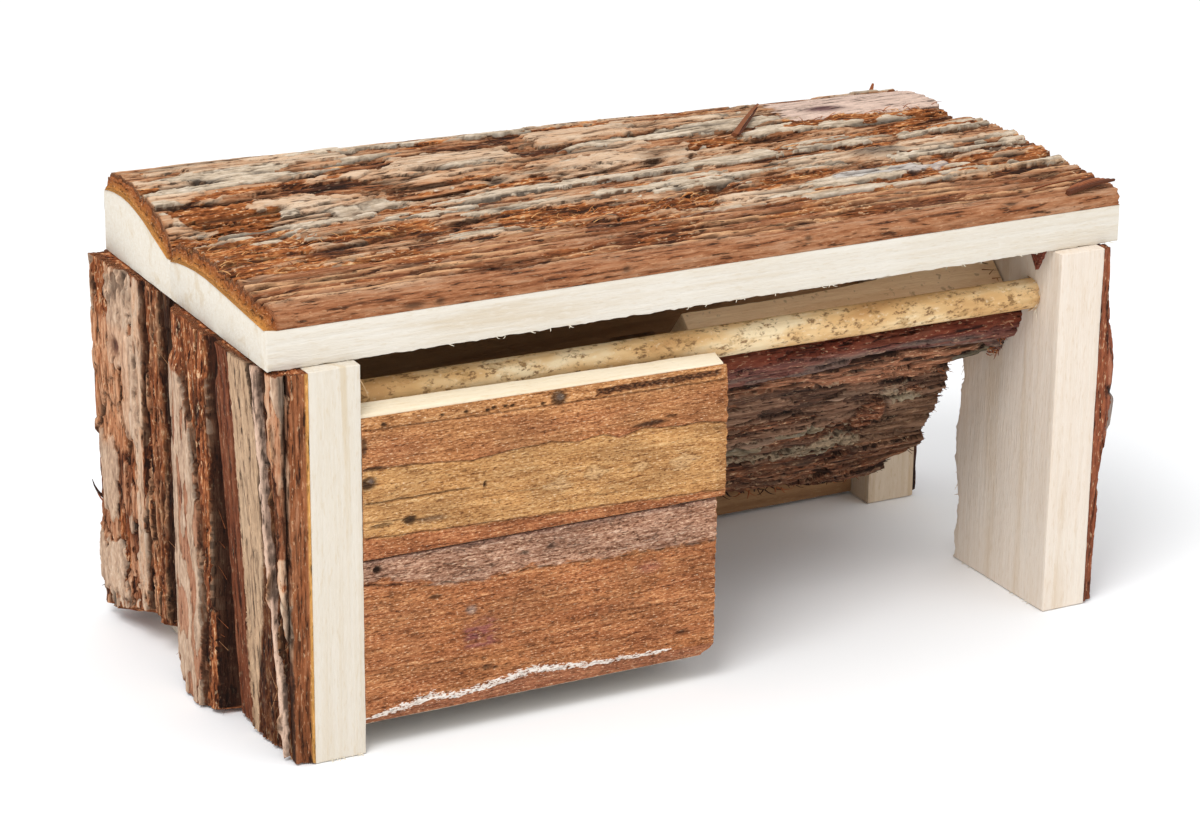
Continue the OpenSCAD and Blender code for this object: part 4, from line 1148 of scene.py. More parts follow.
def panel_material():
    """Inner bark: level from reddish brown to gold, grey fuzz, scraped pale places, dark marks and painted shade in
    hollows.
    """
    k = Nodes("inner_bark", 0.85, 0.18)
    a = k.attr("bark")
    rgb = k.sep(a.outputs["Color"])
    gold, fuzz, pale = rgb[0], rgb[1], rgb[2]
    dark_and_shade_mask = a.outputs["Alpha"]
    tint = k.attr("tint")
    flow = k.attr("flow").outputs["Vector"]
    s1 = k.wide(k.vmul(flow, (0.05, 0.70, 0.5)), 4, 0.6, 0.5)
    s2 = k.wide(k.vmul(flow, (0.28, 1.6, 1.0)), 3, 0.65, 0.3)
    s3 = k.wide(k.vmul(flow, (0.85, 2.4, 1.0)), 2, 0.65)
    n1 = k.wide(k.vmul(flow, (0.05, 0.12, 0.0)), 3, 0.5)
    f = k.math("MULTIPLY_ADD", s1, 0.35, k.math("MULTIPLY_ADD", s2, 0.35, k.math("MULTIPLY", s3, 0.3)))
    red = k.ramp(f, [(0.08, lin(78, 40, 22)), (0.36, lin(142, 84, 50)), (0.6, lin(178, 114, 74)), (0.9, lin(220, 166, 118))])
    gol = k.ramp(f, [(0.08, lin(124, 78, 38)), (0.42, lin(178, 130, 80)), (0.65, lin(202, 156, 102)), (0.95, lin(230, 196, 146))])
    fz = k.ramp(f, [(0.08, lin(72, 44, 32)), (0.36, lin(140, 100, 78)), (0.62, lin(182, 142, 118)), (0.95, lin(224, 196, 174))])
    pl = k.ramp(f, [(0.15, lin(150, 120, 100)), (0.38, lin(214, 200, 188)), (0.8, lin(240, 234, 226))])
    c = k.mix(gold, red, gol)
    c = k.mix(k.step(k.math("MULTIPLY_ADD", k.math("SUBTRACT", s2, 0.5), 0.5, fuzz), 0.25, 0.85), c, fz)
    c = k.mix(1.0, c, k.ramp(n1, [(0.1, (0.84, 0.81, 0.80, 1)), (0.9, (1.12, 1.08, 1.04, 1))]), "MULTIPLY")
    tf = k.math("MULTIPLY_ADD", f, 0.6, 0.70)
    comb = k.t.nodes.new("ShaderNodeCombineColor")
    for i in range(3):
        k._set(comb.inputs[i], tf)
    c = k.mix(tint.outputs["Alpha"], c, k.mix(1.0, tint.outputs["Color"], comb.outputs[0], "MULTIPLY"))
    c = k.mix(k.math("MULTIPLY", k.step(s3, 0.26, 0.04), 0.62), c, lin(70, 36, 20))
    c = k.mix(k.math("MULTIPLY", k.step(s3, 0.82, 1.0), 0.5), c, lin(236, 196, 150))
    c = k.mix(k.math("MULTIPLY", k.step(s2, 0.16, 0.0), 0.55), c, lin(76, 40, 24))
    c = k.mix(k.step(k.math("MULTIPLY_ADD", k.math("SUBTRACT", s3, 0.5), 0.9, pale), 0.4, 0.65), c, pl)
    # dark marks: knots, holes and cracks, plus painted shade in hollows
    c = k.mix(k.math("MULTIPLY", dark_and_shade_mask, 0.95), c, lin(32, 18, 12))
    h = k.math("MULTIPLY_ADD", s2, 0.7, k.math("MULTIPLY_ADD", s1, 0.6, k.math("MULTIPLY", s3, 0.4)))
    return k.finish(c, 0.86, k.bump(h, 0.7, 0.0003))


PANEL = panel_material()


def curve(U, V, pts, seed, width=0.25, wave=0.35, u0=None, u1=None):
    """A thin crack along a curve given as (u, v) points."""
    p = np.array(pts, float)
    c = np.interp(U, p[:, 0], p[:, 1]) + wave * perlin(U / 7, U * 0, seed) + 0.3 * wave * perlin(U / 2, U * 0, seed + 1)
    a, b = p[0, 0] if u0 is None else u0, p[-1, 0] if u1 is None else u1
    return np.exp(-(((V - c) / width) ** 2)) * ss(a - 1.5, a + 1.5, U) * (1 - ss(b - 1.5, b + 1.5, U))


def skin_base(U, V, seed):
    return {"jag": perlin(U / 1.4, V / 0.8, seed), "jc": perlin(U / 5, V / 2.0, seed + 1),
            "d": 0.16 * fbm(U / 26, V / 3, seed + 2, 4) + 0.11 * fbm(U / 8, V / 0.7, seed + 3, 3) + 0.05 * perlin(U / 1.3, V / 0.7, seed + 4),
            "level": np.zeros(U.shape), "grey": np.zeros(U.shape), "torn": np.zeros(U.shape), "dark": np.zeros(U.shape),
            "tint": np.zeros(U.shape + (4,))}


def upper_skin_field(U, V, TH, info):
    b = skin_base(U, V, 700)
    Z = info["B"]
    jag, jc = b["jag"], b["jc"]
    edge = [(0, 85.6), (12, 85.4), (24, 84.4), (34, 83.4), (47, 84.5), (58, 84.8), (66, 83.6), (75, 84.4), (80, 82.6),
            (88, 84.2), (100, 82.9), (107, 83.2), (116, 81.4)]
    p = np.array(edge)
    up_ = np.interp(U, p[:, 0], p[:, 1])
    lo = np.interp(U, [0, 12, 24, 44, 64, 76, 116], [65.6, 64.8, 64.4, 63.6, 63.0, 62.4, 60.9])
    gold = ss(lo - 0.8, lo + 0.8, Z + 0.6 * jc + 0.3 * jag) * (1 - ss(up_ - 0.35, up_ + 0.35, Z + 0.35 * jc + 0.2 * jag))
    b["level"] = np.clip(gold + (0.22 * perlin(U / 20, V / 5, 706) + 0.32 * ss(82, 86, Z)) * (1 - gold), 0, 1)
    # wavy lines that follow the old growth, as on a contour map
    q = 3.2 * perlin(U / 26, Z / 7, 707) + 0.5 * perlin(U / 6, Z / 3, 708)
    q = np.abs(q - np.round(q))
    ring = np.exp(-((q / 0.045) ** 2)) * ss(-0.2, 0.2, perlin(U / 11, Z / 5, 709))
    lay(b, ring * (0.25 + 0.35 * gold), dark=0.6, d=-0.12)
    rim2 = np.interp(U, [0, 44, 75, 115], [97.2, 96.0, 95.4, 94.8])
    rim = ss(rim2 - 0.2, rim2 + 0.2, Z)
    b["level"] = np.maximum(b["level"], 0.55 * rim)
    lay(b, rim, d=-0.35)
    cr = 0.8 * curve(U, Z, edge, 711, 0.22, 0.5)
    cr = np.maximum(cr, 0.9 * curve(U, Z, [(0, 75.7), (16, 75.5), (33, 75.5)], 712, 0.28, 0.3))
    cr = np.maximum(cr, 0.75 * curve(U, Z, [(0, 65.6), (12, 64.8), (24, 64.4), (44, 63.6), (64, 62.9), (76, 62.6), (115, 60.8)], 713, 0.22, 0.4))
    cr = np.maximum(cr, 0.6 * curve(U, Z, [(0, 70.4), (10, 69.4), (24, 68.0)], 715, 0.3, 0.4))
    cr = np.maximum(cr, 0.75 * curve(U, Z, [(0, 97.3), (44, 96.1), (75, 95.5), (115, 94.9)], 714, 0.20, 0.12))
    for z0, u0, u1, s in ((92.5, 10, 110, 1), (88.6, 0, 60, 2), (90.0, 40, 100, 3), (79.5, 0, 22, 4), (66.5, 60, 110, 5),
                          (94.2, 0, 40, 6), (87.0, 60, 115, 7), (72.0, 26, 60, 8)):
        f = curve(U, Z, [(u0, z0 + 0.02 * (u0 - 50)), (u1, z0 - 0.02 * (u1 - 50))], 720 + s, 0.16, 0.4)
        cr = np.maximum(cr, 0.55 * f * ss(-0.2, 0.2, perlin(U / 9, U * 0, 730 + s)))
    lay(b, cr, dark=0.85, d=-0.3)
    # knots, worm holes and torn places
    for u, z, ru, rz, dk in ((1.6, 81.6, 2.6, 1.8, 0.95), (14.3, 68.8, 1.9, 1.3, 0.95), (61.0, 97.6, 2.3, 2.1, 0.9),
                             (90.4, 85.3, 5.2, 0.75, 0.85), (7.0, 98.2, 0.9, 0.7, 0.9), (24.8, 98.2, 0.6, 0.5, 0.9),
                             (32.1, 98.0, 0.7, 0.5, 0.9), (38.6, 97.4, 0.8, 0.5, 0.95), (40.6, 97.9, 0.7, 0.5, 0.95),
                             (44.3, 97.8, 0.6, 0.4, 0.9), (46.4, 97.5, 0.7, 0.4, 0.9), (55.9, 96.7, 0.6, 0.5, 0.85),
                             (37.5, 75.6, 0.4, 1.0, 0.9), (5.4, 68.6, 3.4, 0.6, 0.6), (0.6, 92.5, 1.0, 2.6, 0.8),
                             (3.6, 85.9, 3.4, 0.45, 0.85), (97.0, 86.6, 2.0, 0.4, 0.6)):
        s = spot(U + 0.3 * jag, Z + 0.25 * jag, u, z, ru * 1.1, rz * 1.1, 3.0)
        lay(b, s, dark=dk, d=-0.5 if ru < 4 else -0.3)
    lay(b, spot(U + 0.4 * jag, Z + 0.3 * jag, 61.3, 97.9, 1.5, 1.3, 3.0), dark=0.35, d=0.8, tint=(104, 92, 84), k=0.9)
    lay(b, spot(U + 0.4 * jag, Z + 0.3 * jag, 2.6, 82.2, 1.2, 0.9, 3.0), dark=0.3, d=0.3, tint=(112, 98, 92), k=0.9)
    lay(b, spot(U, Z, 21.0, 68.1, 5.0, 1.0), tint=(128, 100, 78), k=0.6)
    for u, z, ru, rz, o in ((72.3, 73.3, 3.8, 2.2, 0.5), (87, 72.6, 3.0, 1.5, 0.5), (60.5, 71.8, 4.6, 2.2, 0.2), (101, 72, 5.0, 2.6, 0.15)):
        r = np.sqrt(((U - u) / ru) ** 2 + ((Z - z) / rz) ** 2) + 0.42 * jc + 0.2 * jag
        lay(b, (1 - ss(0.75, 1.05, r)) * 0.8, tint=(220, 182, 134), k=0.55, dark=0)
        lay(b, np.exp(-(((r - 1.02) / 0.09) ** 2)) * o, dark=0.7, d=-0.1)
    m = ss(96.0, 96.6, Z + 0.35 * jag) * (1 - ss(98.1, 98.5, Z + 0.3 * jag)) * ss(72.5, 74.0, U + jag) * (1 - ss(112, 114, U))
    lay(b, m, dark=0.55 + 0.4 * ss(-0.1, 0.2, perlin(U / 1.2, Z / 0.6, 741)), d=-0.8, level=0.2)
    m = ss(-2, 0, U - 113.6)
    lay(b, m * 0.5, tint=(190, 120, 70), k=0.6)
    return done(b, info, 0.4, 0.5, 0.3)


def lower_skin_field(U, V, TH, info):
    b = skin_base(U, V, 750)
    Z = info["B"]
    jag, jc = b["jag"], b["jc"]
    b["d"] = b["d"] + 0.12 * fbm(U / 2.2, V / 0.9, 755, 2)
    line = np.interp(U, [0, 6, 28, 36, 52, 72, 112], [52.0, 52.5, 47.0, 46.4, 48.0, 46.5, 45.6]) + 1.1 * perlin(U / 9, U * 0, 751)
    fz = ss(line - 1.2, line + 1.0, Z + 0.9 * jc + 0.7 * jag)
    b["grey"] = 0.92 * fz + 0.12 * (1 - fz) * ss(0.0, 0.4, perlin(U / 40, V / 5, 752))
    b["level"] = 0.10 + 0.15 * perlin(U / 26, V / 4, 753)
    b["d"] = b["d"] + fz * (0.22 + 0.34 * fbm(U / 3.4, V / 1.2, 754, 3))
    # torn, wavy fibres in the grey band and dark pits below it
    q = 2.6 * perlin(U / 11, Z / 2.6 + U / 26, 794) + 0.6 * perlin(U / 3, Z / 1.2, 795)
    q = np.abs(q - np.round(q))
    lay(b, np.exp(-((q / 0.09) ** 2)) * fz * ss(-0.15, 0.2, perlin(U / 7, Z / 3, 796)) * 0.85, dark=0.8, d=-0.25)
    pit = ss(0.34, 0.5, perlin(U / 2.4, Z / 0.8, 797) + 0.25 * perlin(U / 30, Z / 6, 798)) * (1 - fz)
    lay(b, pit * 0.55, dark=0.7, d=-0.12)
    lay(b, ss(56.2, 58.4, Z) * 0.6, tint=(128, 116, 118), k=0.6)
    cr = curve(U, Z, [(0, 51.5), (20, 48.0), (40, 46.5), (56, 47.2), (72, 45.9), (113, 45.2)], 761, 0.35, 0.9) * ss(-0.25, 0.2, perlin(U / 6, U * 0, 762))
    lay(b, cr, dark=0.8, d=-0.4)
    for z0, u0, u1, s in ((40.5, 4, 60, 1), (33, 30, 110, 2), (23.5, 0, 70, 3), (28, 60, 112, 4), (52.6, 46, 66, 5), (55.0, 12, 40, 6)):
        f = curve(U, Z, [(u0, z0), (u1, z0 + 0.8)], 770 + s, 0.18, 0.5) * ss(-0.1, 0.25, perlin(U / 8, U * 0, 780 + s))
        lay(b, f * 0.8, dark=0.7, d=-0.15)
    s = np.exp(-((((U - 4.3) / 1.25) ** 2 + ((Z - 55.4) / 1.15) ** 2) ** 4))
    lay(b, s, dark=1.0, d=-1.2)
    for u, z, ru, rz in ((38.1, 19.2, 1.6, 1.0), (41.0, 18.6, 1.0, 0.6), (101.9, 17.9, 2.2, 0.8), (50.1, 52.4, 1.8, 0.6), (58.8, 52.9, 1.5, 0.9),
                         (22, 44.0, 2.4, 0.7), (92.5, 11.8, 1.0, 0.5)):
        lay(b, spot(U + 0.4 * jag, Z + 0.3 * jag, u, z, ru, rz), dark=0.8, d=-0.4)
    m = ss(29.5, 32.5, U + 0.8 * jag + 0.05 * (Z - 25)) * (1 - ss(38, 45, U + jc)) * ss(24.5, 27, Z + 0.5 * jag) * (1 - ss(31.0, 37, Z + 0.6 * jc - 0.15 * (U - 30)))
    m = m * (0.45 + 0.55 * ss(-0.25, 0.2, perlin(U / 3.2, Z / 1.3, 786)))
    lay(b, m * 0.85, tint=(146, 84, 92), k=0.7)
    lay(b, spot(U, Z, 33.3, 38.0, 2.0, 1.6), tint=(168, 146, 132), k=0.7, d=0.1)
    lay(b, spot(U, Z, 90.7, 40.6, 5.0, 2.2) * 0.7, tint=(170, 98, 96), k=0.6)
    wl = np.interp(U, [0, 8, 20, 28, 40, 52, 64, 76, 93, 100], [10.6, 11.2, 13.3, 12.2, 13.4, 15.2, 14.2, 13.4, 13.2, 13.2])
    wl = wl + 0.35 * perlin(U / 4, U * 0, 791)
    wd = np.interp(U, [0, 8, 20, 28, 40, 52, 64, 76, 93, 100], [0.5, 1.4, 2.1, 1.5, 1.7, 1.9, 1.5, 0.9, 0.8, 0.0]) * (0.9 + 0.5 * perlin(U / 2.5, U * 0, 792))
    m = np.exp(-(((Z - wl) / np.maximum(wd, 0.05)) ** 2) ** 2) * (wd > 0.12)
    b["torn"] = np.maximum(b["torn"], m * (0.78 + 0.42 * perlin(U / 3.0, Z / 0.6, 793)))
    b["d"] = b["d"] + 0.25 * m
    under = 1 - ss(wl - 1.0, wl - 0.3, Z + 0.3 * jag)
    lay(b, under * 0.75, tint=(172, 112, 88), k=0.65)
    b["d"] = b["d"] - 1.1 * np.clip((12.0 - Z) / 3.6, 0, 1) ** 2
    b["torn"] = b["torn"] * (1 - 0.9 * under)
    return done(b, info, 0.4, 0.5, 0.3)


def skin_ends(seed, right):
    def ends(V, i):
        j = 0.5 * perlin(V / 2.5, V * 0, seed) + 0.25 * perlin(V / 0.7, V * 0, seed + 1)
        return 0 * V, 0 * V, right(i) + j, right(i) * 1.0
    return ends


uo = [(-65.5, 58.6), (-66.9, 58.8), (-67.1, 62), (-67.1, 75), (-67.1, 90), (-67.1, 98), (-66.6, 99.8), (-65.5, 100.6)]
ui = [(-65.5, 58.6), (-65.2, 70), (-65.2, 90), (-65.5, 100.6)]
uoR = [(a, c if c < 95 else c - 1.4) for a, c in uo]
uiR = [(a, c if c < 95 else c - 1.4) for a, c in ui]
CAPP = (0.25, 0.1, 0.0, 0.0)
sheet("panel_upper_skin_v", (uo, uoR), (ui, uiR), "x", -114, 1.2, 330, 220, upper_skin_field, PANEL,
      ["panel_upper_skin"], ends=skin_ends(161, lambda i: 0.2 + 0 * i["B"]), nc=3, cap_mask=CAPP)
lo_ = [(-65.5, 8.8), (-66.2, 9.0), (-66.6, 11), (-66.6, 25), (-66.6, 40), (-66.6, 55), (-66.4, 58.0), (-65.5, 58.3)]
li_ = [(-65.5, 8.8), (-65.2, 25), (-65.2, 45), (-65.5, 58.3)]
sheet("panel_lower_skin_v", (lo_, lo_), (li_, li_), "x", -114, -1.2, 330, 230, lower_skin_field, PANEL,
      ["panel_lower_skin"], nc=3, cap_mask=CAPP,
      ends=skin_ends(165, lambda i: -4.2 * np.clip((13.5 - i["B"]) / 4.5, 0, 1) ** 2))

# ---------------------------------------------------------------- inside
SA = math.radians(49.2)


def slope_map(P):
    """(x, distance down the slope, height above the bark face) to house millimetres."""
    Q = P.copy()
    s, n = P[:, 1], P[:, 2]
    Q[:, 1] = -48 + s * math.cos(SA) + n * math.sin(SA)
    Q[:, 2] = 91 - s * math.sin(SA) + n * math.cos(SA)
    return Q


def wood_end(s):
    """How far the slab's right end is torn back, by distance down the slope."""
    return np.interp(s, [0, 14, 18, 22, 30, 44, 60, 72, 80, 90], [0, 0.5, 7.0, 18.0, 17.0, 14.5, 11.5, 9.0, 8.0, 9.0])


def slab_warp(P):
    P = P.copy()
    s = P[:, 1]
    e = ss(80, 116.6, P[:, 0])
    P[:, 0] -= e * (wood_end(s) + 0.8 * np.abs(perlin(s / 2.0, P[:, 2] / 3, 171)) + 0.3)
    # a little thicker along its top, towards the right
    P[:, 2] += 3.2 * ss(40, 114, P[:, 0]) * ss(12, 20, P[:, 2]) * (1 - ss(6, 22, s))
    return P


sw = [(0, 5), (90, 5), (90, 20.3), (0, 20.3)]
solid("slope_slab_v", sw, sw, "x", 4.5, 116.6, WOOD_SLOPE, ["slope_slab"], step=1.6, seg=1.8, seed=51,
      warp=slab_warp, frame_map=slope_map, rough=0.2)


def slope_field(U, V, TH, info):
    b = bark2(U, V, 808, plate=(40, 7.0), flake=(15, 3.0), step=1.2, missing=0.28, grey=0.95, wave=1.8, lvl=0.52, crack=1.2,
              furrow=2.2, torn_bias=0.02, vs=1.15)
    X, s = U + 4.5, info["A"]
    jag, jc = b["jag"], b["jc"]
    shade = ss(0.05, 0.4, perlin(U / 24, V / 4.5, 861) + 0.2 * jag)
    lay(b, shade * 0.55, dark=0.75, d=-0.4)
    gl = ss(0.1, 0.4, perlin(U / 20, V / 4.0, 862) - 0.15 * jag)
    lay(b, gl * 0.6, tint=(158, 136, 116), k=0.5)
    w = s + 0.5 * jag + 0.7 * jc
    f0 = np.interp(X, [4, 18, 40, 60, 81, 104, 117], [13.8, 13.6, 12.8, 9.4, 8.4, 10.3, 18.0])
    # purple lip under the rail, its dark maroon partly painted shade from the rail and roof; grey along its lower edge
    top = 1 - ss(f0 - 0.6, f0 + 0.2, w)
    lay(b, top, rough=0.55, d=0.9, level=0.42, grey=0, torn=0.35, dark=b["dark"] * 0.4, tint=(122, 72, 70), k=0.55)
    lay(b, band(w, f0 - 5.5, f0 - 1.0, 1.0) * ss(-0.4, 0.0, perlin(U / 20, V / 3, 821)), tint=(120, 104, 98), k=0.6)
    # painted shade along the top edge, right under the rail
    lay(b, 1 - ss(1.5, 3.5, w), tint=(112, 46, 30), k=0.7)
    st = band(w, f0 + 0.4, f0 + 8.5, 1.2) * ss(-0.02, 0.2, perlin(U / 30, V / 1.5, 863))
    lay(b, st * 0.9, dark=0.9, d=-0.8)
    f = np.exp(-(((w - f0 - 0.9) / 1.5) ** 4)) * (1 - 0.6 * ss(84, 100, X))
    lay(b, f, d=-2.6, dark=1.0)
    # orange fibres below the lip
    lo = np.interp(X, [4, 22, 48, 75, 97, 117], [21.5, 21.7, 23.2, 27.1, 27.3, 25])
    m = band(w, f0 + 2.4, lo, 0.8) * (1 - st)
    lay(b, m, d=-0.1, torn=0.55, grey=0, level=0.62, rough=0.9, tint=(188, 128, 96), k=0.45)
    # the long crack and the short ones that run off it
    cr = curve(U, w, [(24, 49.5), (27.1, 47.0), (39.4, 38.6), (52.9, 36.5), (62.1, 34.3), (70.2, 33.0), (79, 36.8)], 831, 0.55, 0.4)
    for p in (((55.5, 55), (58, 45.9)), ((62, 56), (64, 48)), ((30, 45), (37, 41))):
        (a0, b0), (a1, b1) = p
        t = np.clip(((U - a0) * (a1 - a0) + (w - b0) * (b1 - b0)) / ((a1 - a0) ** 2 + (b1 - b0) ** 2), 0, 1)
        dist = np.hypot(U - a0 - t * (a1 - a0), w - b0 - t * (b1 - b0))
        cr = np.maximum(cr, np.exp(-((dist / 0.55) ** 2)))
    lay(b, cr, dark=0.95, d=-1.6)
    # grey-brown middle
    m = band(w, lo + 1, 62, 2.0)
    lay(b, m, rough=0.8, tint=(126, 96, 78), k=0.25)
    # lichen, lumpy and pale
    l1 = band(w, 61.0, 67.5, 1.2) * ss(30, 36, X) * (1 - ss(84, 90, X)) + 0.9 * spot(X, w, 76, 58.5, 9, 5.0)
    l2 = spot(X, w, 86, 35.0, 6, 3.0) + spot(X, w, 97, 37.5, 9, 3.4) + 0.6 * spot(X, w, 60, 23, 7, 1.8)
    l3 = 0.8 * spot(X, w, 40, 52, 4, 1.2) + 0.7 * spot(X, w, 46, 56, 3, 2.2)
    lump = fbm(U / 2.6, V / 1.7, 813, 3)
    li = ss(0.44, 0.66, (l1 + l2 + l3) * 0.75 + 0.75 * lump)
    lay(b, li, torn=0, d=0.4 + 1.2 * lump, dark=b["dark"] * 0.7, tint=(176, 158, 130), k=0.62)
    # smoother plate beside the knot
    m = ss(86, 87.5, X + jc) * band(w, 40, 70, 1.0)
    lay(b, m, rough=0.8, d=0.5, level=b["level"] * 0.6 + 0.25, grey=0, torn=0, dark=b["dark"] * 0.8, tint=(132, 104, 80), k=0.35)
    r = np.sqrt(((X - 83) / 8.5) ** 2 + ((s - 47.5) / 11.0) ** 2)
    ring = np.exp(-(((r - 0.9) / 0.16) ** 2))
    lay(b, ring, dark=0.7, d=-0.8)
    lay(b, np.exp(-(r**6)), torn=0.8, grey=0, d=0.7, tint=(134, 84, 62), k=0.4)
    # reddish lower band with splits
    m = ss(68.5, 70.0, w + 0.05 * (X - 60))
    lay(b, m, torn=0.45, grey=0, level=0.42, rough=0.9)
    for s0, q in ((73.0, 1), (79.0, 2), (85.0, 3)):
        f = np.exp(-(((w - s0 - 1.2 * perlin(U / 24, V * 0, 840 + q)) / 0.45) ** 2)) * ss(-0.2, 0.1, perlin(U / 26, V * 0, 850 + q))
        lay(b, f, dark=0.9, d=-1.0)
    return done(b, info)


SEDGE = np.array([(0, 117.2), (4.5, 117.0), (16, 116.6), (18.5, 112.0), (20.0, 100.5), (26, 101.5), (34, 104.8), (43, 106.0),
                  (52, 108.5), (57, 107.8), (66, 109.8), (72, 113.0), (79, 113.2), (82, 105.0), (89, 106.5), (92, 98.0), (96, 88.0)])


def slope_ends(V, i):
    s = i["A"]
    n0, n1 = np.abs(perlin(V / 0.8, V * 0, 181)), np.abs(perlin(V / 2.4, V * 0, 182))
    out1 = np.interp(s, SEDGE[:, 0], SEDGE[:, 1]) - 116.4 - 0.9 * n0 - 0.8 * n1
    return 0.2 - 0.6 * n0, 0 * V, out1, out1 - 0.6


def slope_bend(P):
    """The slab's lower edge hangs unevenly."""
    Q = P.copy()
    low = np.interp(P[:, 0], [4, 45, 56, 65, 77, 93, 107, 117], [-1.0, -1.5, 2.0, 3.4, 3.0, 3.8, 1.0, -6.0])
    low = low + 0.8 * perlin(P[:, 0] / 3.0, P[:, 0] * 0, 191) + 0.4 * perlin(P[:, 0] / 1.0, P[:, 0] * 0, 192)
    Q[:, 1] += ss(66, 90, P[:, 1]) * low
    return slope_map(Q)


so = [(0, 5.1), (-0.2, 1.6), (1.8, 0.1), (12, 0), (45, 0), (78, 0), (88, 0.6), (91.5, 2.6), (90.5, 5.1)]
si = [(0, 5.1), (30, 5.3), (60, 5.3), (90.5, 5.1)]
sheet("slope_bark_v", (so, so), (si, si), "x", 4.5, 116.4, 330, 280, slope_field, BARK_SLOPE,
      ["slope_bark"], frame_map=slope_bend, ends=slope_ends, ramp=46.0)

pw = [(-10.5, -50.5), (4.5, -50.5), (4.5, -16), (-10.5, -16)]
solid("centre_post_v", pw, pw, "z", 12, 94, WOOD_SHADE, ["centre_post"], seed=52)
bw = [(-114, PB), (-104, PB), (-104, -50.5), (-114, -50.5)]
solid("left_batten_v", bw, bw, "z", 12, 94, WOOD_SHADE, ["left_batten"], seed=53)
bw = [(-10.5, PB), (-1.5, PB), (-1.5, -50.5), (-10.5, -50.5)]
solid("right_batten_v", bw, bw, "z", 12, 94, WOOD_SHADE, ["right_batten"], seed=54)


# ---------------------------------------------------------------- rail
def rail_material():
    k = Nodes("rail_wood", 0.62, 0.3)
    o = k.obj()
    g = k.wide(k.vmul(o, (12, 420, 420)), 4, 0.6)
    b = k.wide(k.vmul(o, (28, 90, 90)), 3, 0.6)
    s = k.wide(k.vmul(o, (520, 900, 900)), 3, 0.65)
    s2 = k.wide(k.vmul(o, (190, 330, 330)), 3, 0.6)
    c = k.ramp(b, [(0.1, lin(194, 148, 94)), (0.45, lin(214, 172, 116)), (0.7, lin(224, 190, 140)), (0.95, lin(234, 212, 172))])
    c = k.mix(k.math("MULTIPLY", k.step(g, 0.55, 1.0), 0.4), c, lin(188, 150, 100))
    sp = k.math("MULTIPLY", k.step(s, 0.54, 0.80), k.step(s2, 0.36, 0.66))
    c = k.mix(k.math("MULTIPLY", sp, 0.85), c, lin(112, 78, 46))
    c = k.mix(k.math("MULTIPLY", k.step(s2, 0.72, 1.0), 0.55), c, lin(160, 124, 74))
    c = k.mix(k.math("MULTIPLY", k.step(s, 0.2, 0.0), 0.35), c, lin(238, 224, 196))
    h = k.math("MULTIPLY_ADD", g, 0.5, k.math("MULTIPLY", s, 0.6))
    return k.finish(c, k.math("MULTIPLY_ADD", s, 0.2, 0.55), k.bump(h, 0.4, 0.0003))


RAIL = rail_material()


def rail():
    n, m = 200, 44
    x = np.linspace(-119.6, 122.2, n)
    th = np.linspace(0, 2 * np.pi, m, endpoint=False)
    X = x[:, None] * np.ones((1, m))
    A = th[None, :] * np.ones((n, 1))
    r = 4.68 + 0.10 * perlin(X / 30, np.cos(A) * 1.2, 901) + 0.07 * perlin(X / 7, np.sin(A) * 2 + 4, 902)
    r = r + 0.03 * perlin(X / 4, np.sin(A) * 9, 903)
    zc = np.interp(X, [-114, 116.6], [101.8, 100.5]) + 0.15 * perlin(X / 70, X * 0, 904)
    yc = -52 + 0.15 * perlin(X / 60, X * 0, 905)
    P = np.stack([X, yc + r * np.cos(A), zc + r * np.sin(A)], -1).reshape(-1, 3)
    faces = []
    for i in range(n - 1):
        for j in range(m):
            k = (j + 1) % m
            faces.append((i * m + j, i * m + k, (i + 1) * m + k, (i + 1) * m + j))
    faces.append(tuple(range(m - 1, -1, -1)))
    faces.append(tuple((n - 1) * m + j for j in range(m)))
    make_mesh("front_rail_v", P, faces, RAIL, ["front_rail"], angle=50)


rail()


# ---------------------------------------------------------------- chip
def chip():
    p = np.array([(-49.6, 117), (-59.4, 117), (-57.8, 113.2), (-55.4, 109.0), (-52.6, 113.0)], float)
    edge = []
    for i in range(len(p)):
        for t in np.linspace(0, 1, 5, endpoint=False):
            edge.append(p[i] * (1 - t) + p[(i + 1) % len(p)] * t)
    edge = np.array(edge)
    edge += 0.25 * np.c_[perlin(edge[:, 0] * 1.3, edge[:, 1] * 1.3, 911), perlin(edge[:, 0] * 1.3, edge[:, 1] * 1.3, 912)]
    m = len(edge)
    pts, faces = [], []
    for x in (116.55, 115.3):
        for y, z in edge:
            pts.append((x + 0.25 * float(perlin(y, z, 913)), y, min(z, 116.95)))
    for j in range(m):
        k = (j + 1) % m
        faces.append((j, k, m + k, m + j))
    faces.append(tuple(range(m - 1, -1, -1)))
    faces.append(tuple(m + j for j in range(m)))
    a = np.zeros((len(pts), 4))
    a[:, 0], a[:, 2] = 0.25, 0.3
    t = np.zeros((len(pts), 4))
    t[:] = lin(124, 66, 54)[:3] + (0.6,)
    make_mesh("bark_chip_v", np.array(pts), faces, BARK_RIGHT, ["bark_chip"],
              attrs={"bark": ("FLOAT_COLOR", a), "flow": ("FLOAT_VECTOR", np.array(pts) * 1.5), "tint": ("FLOAT_COLOR", t)}, angle=30)


chip()


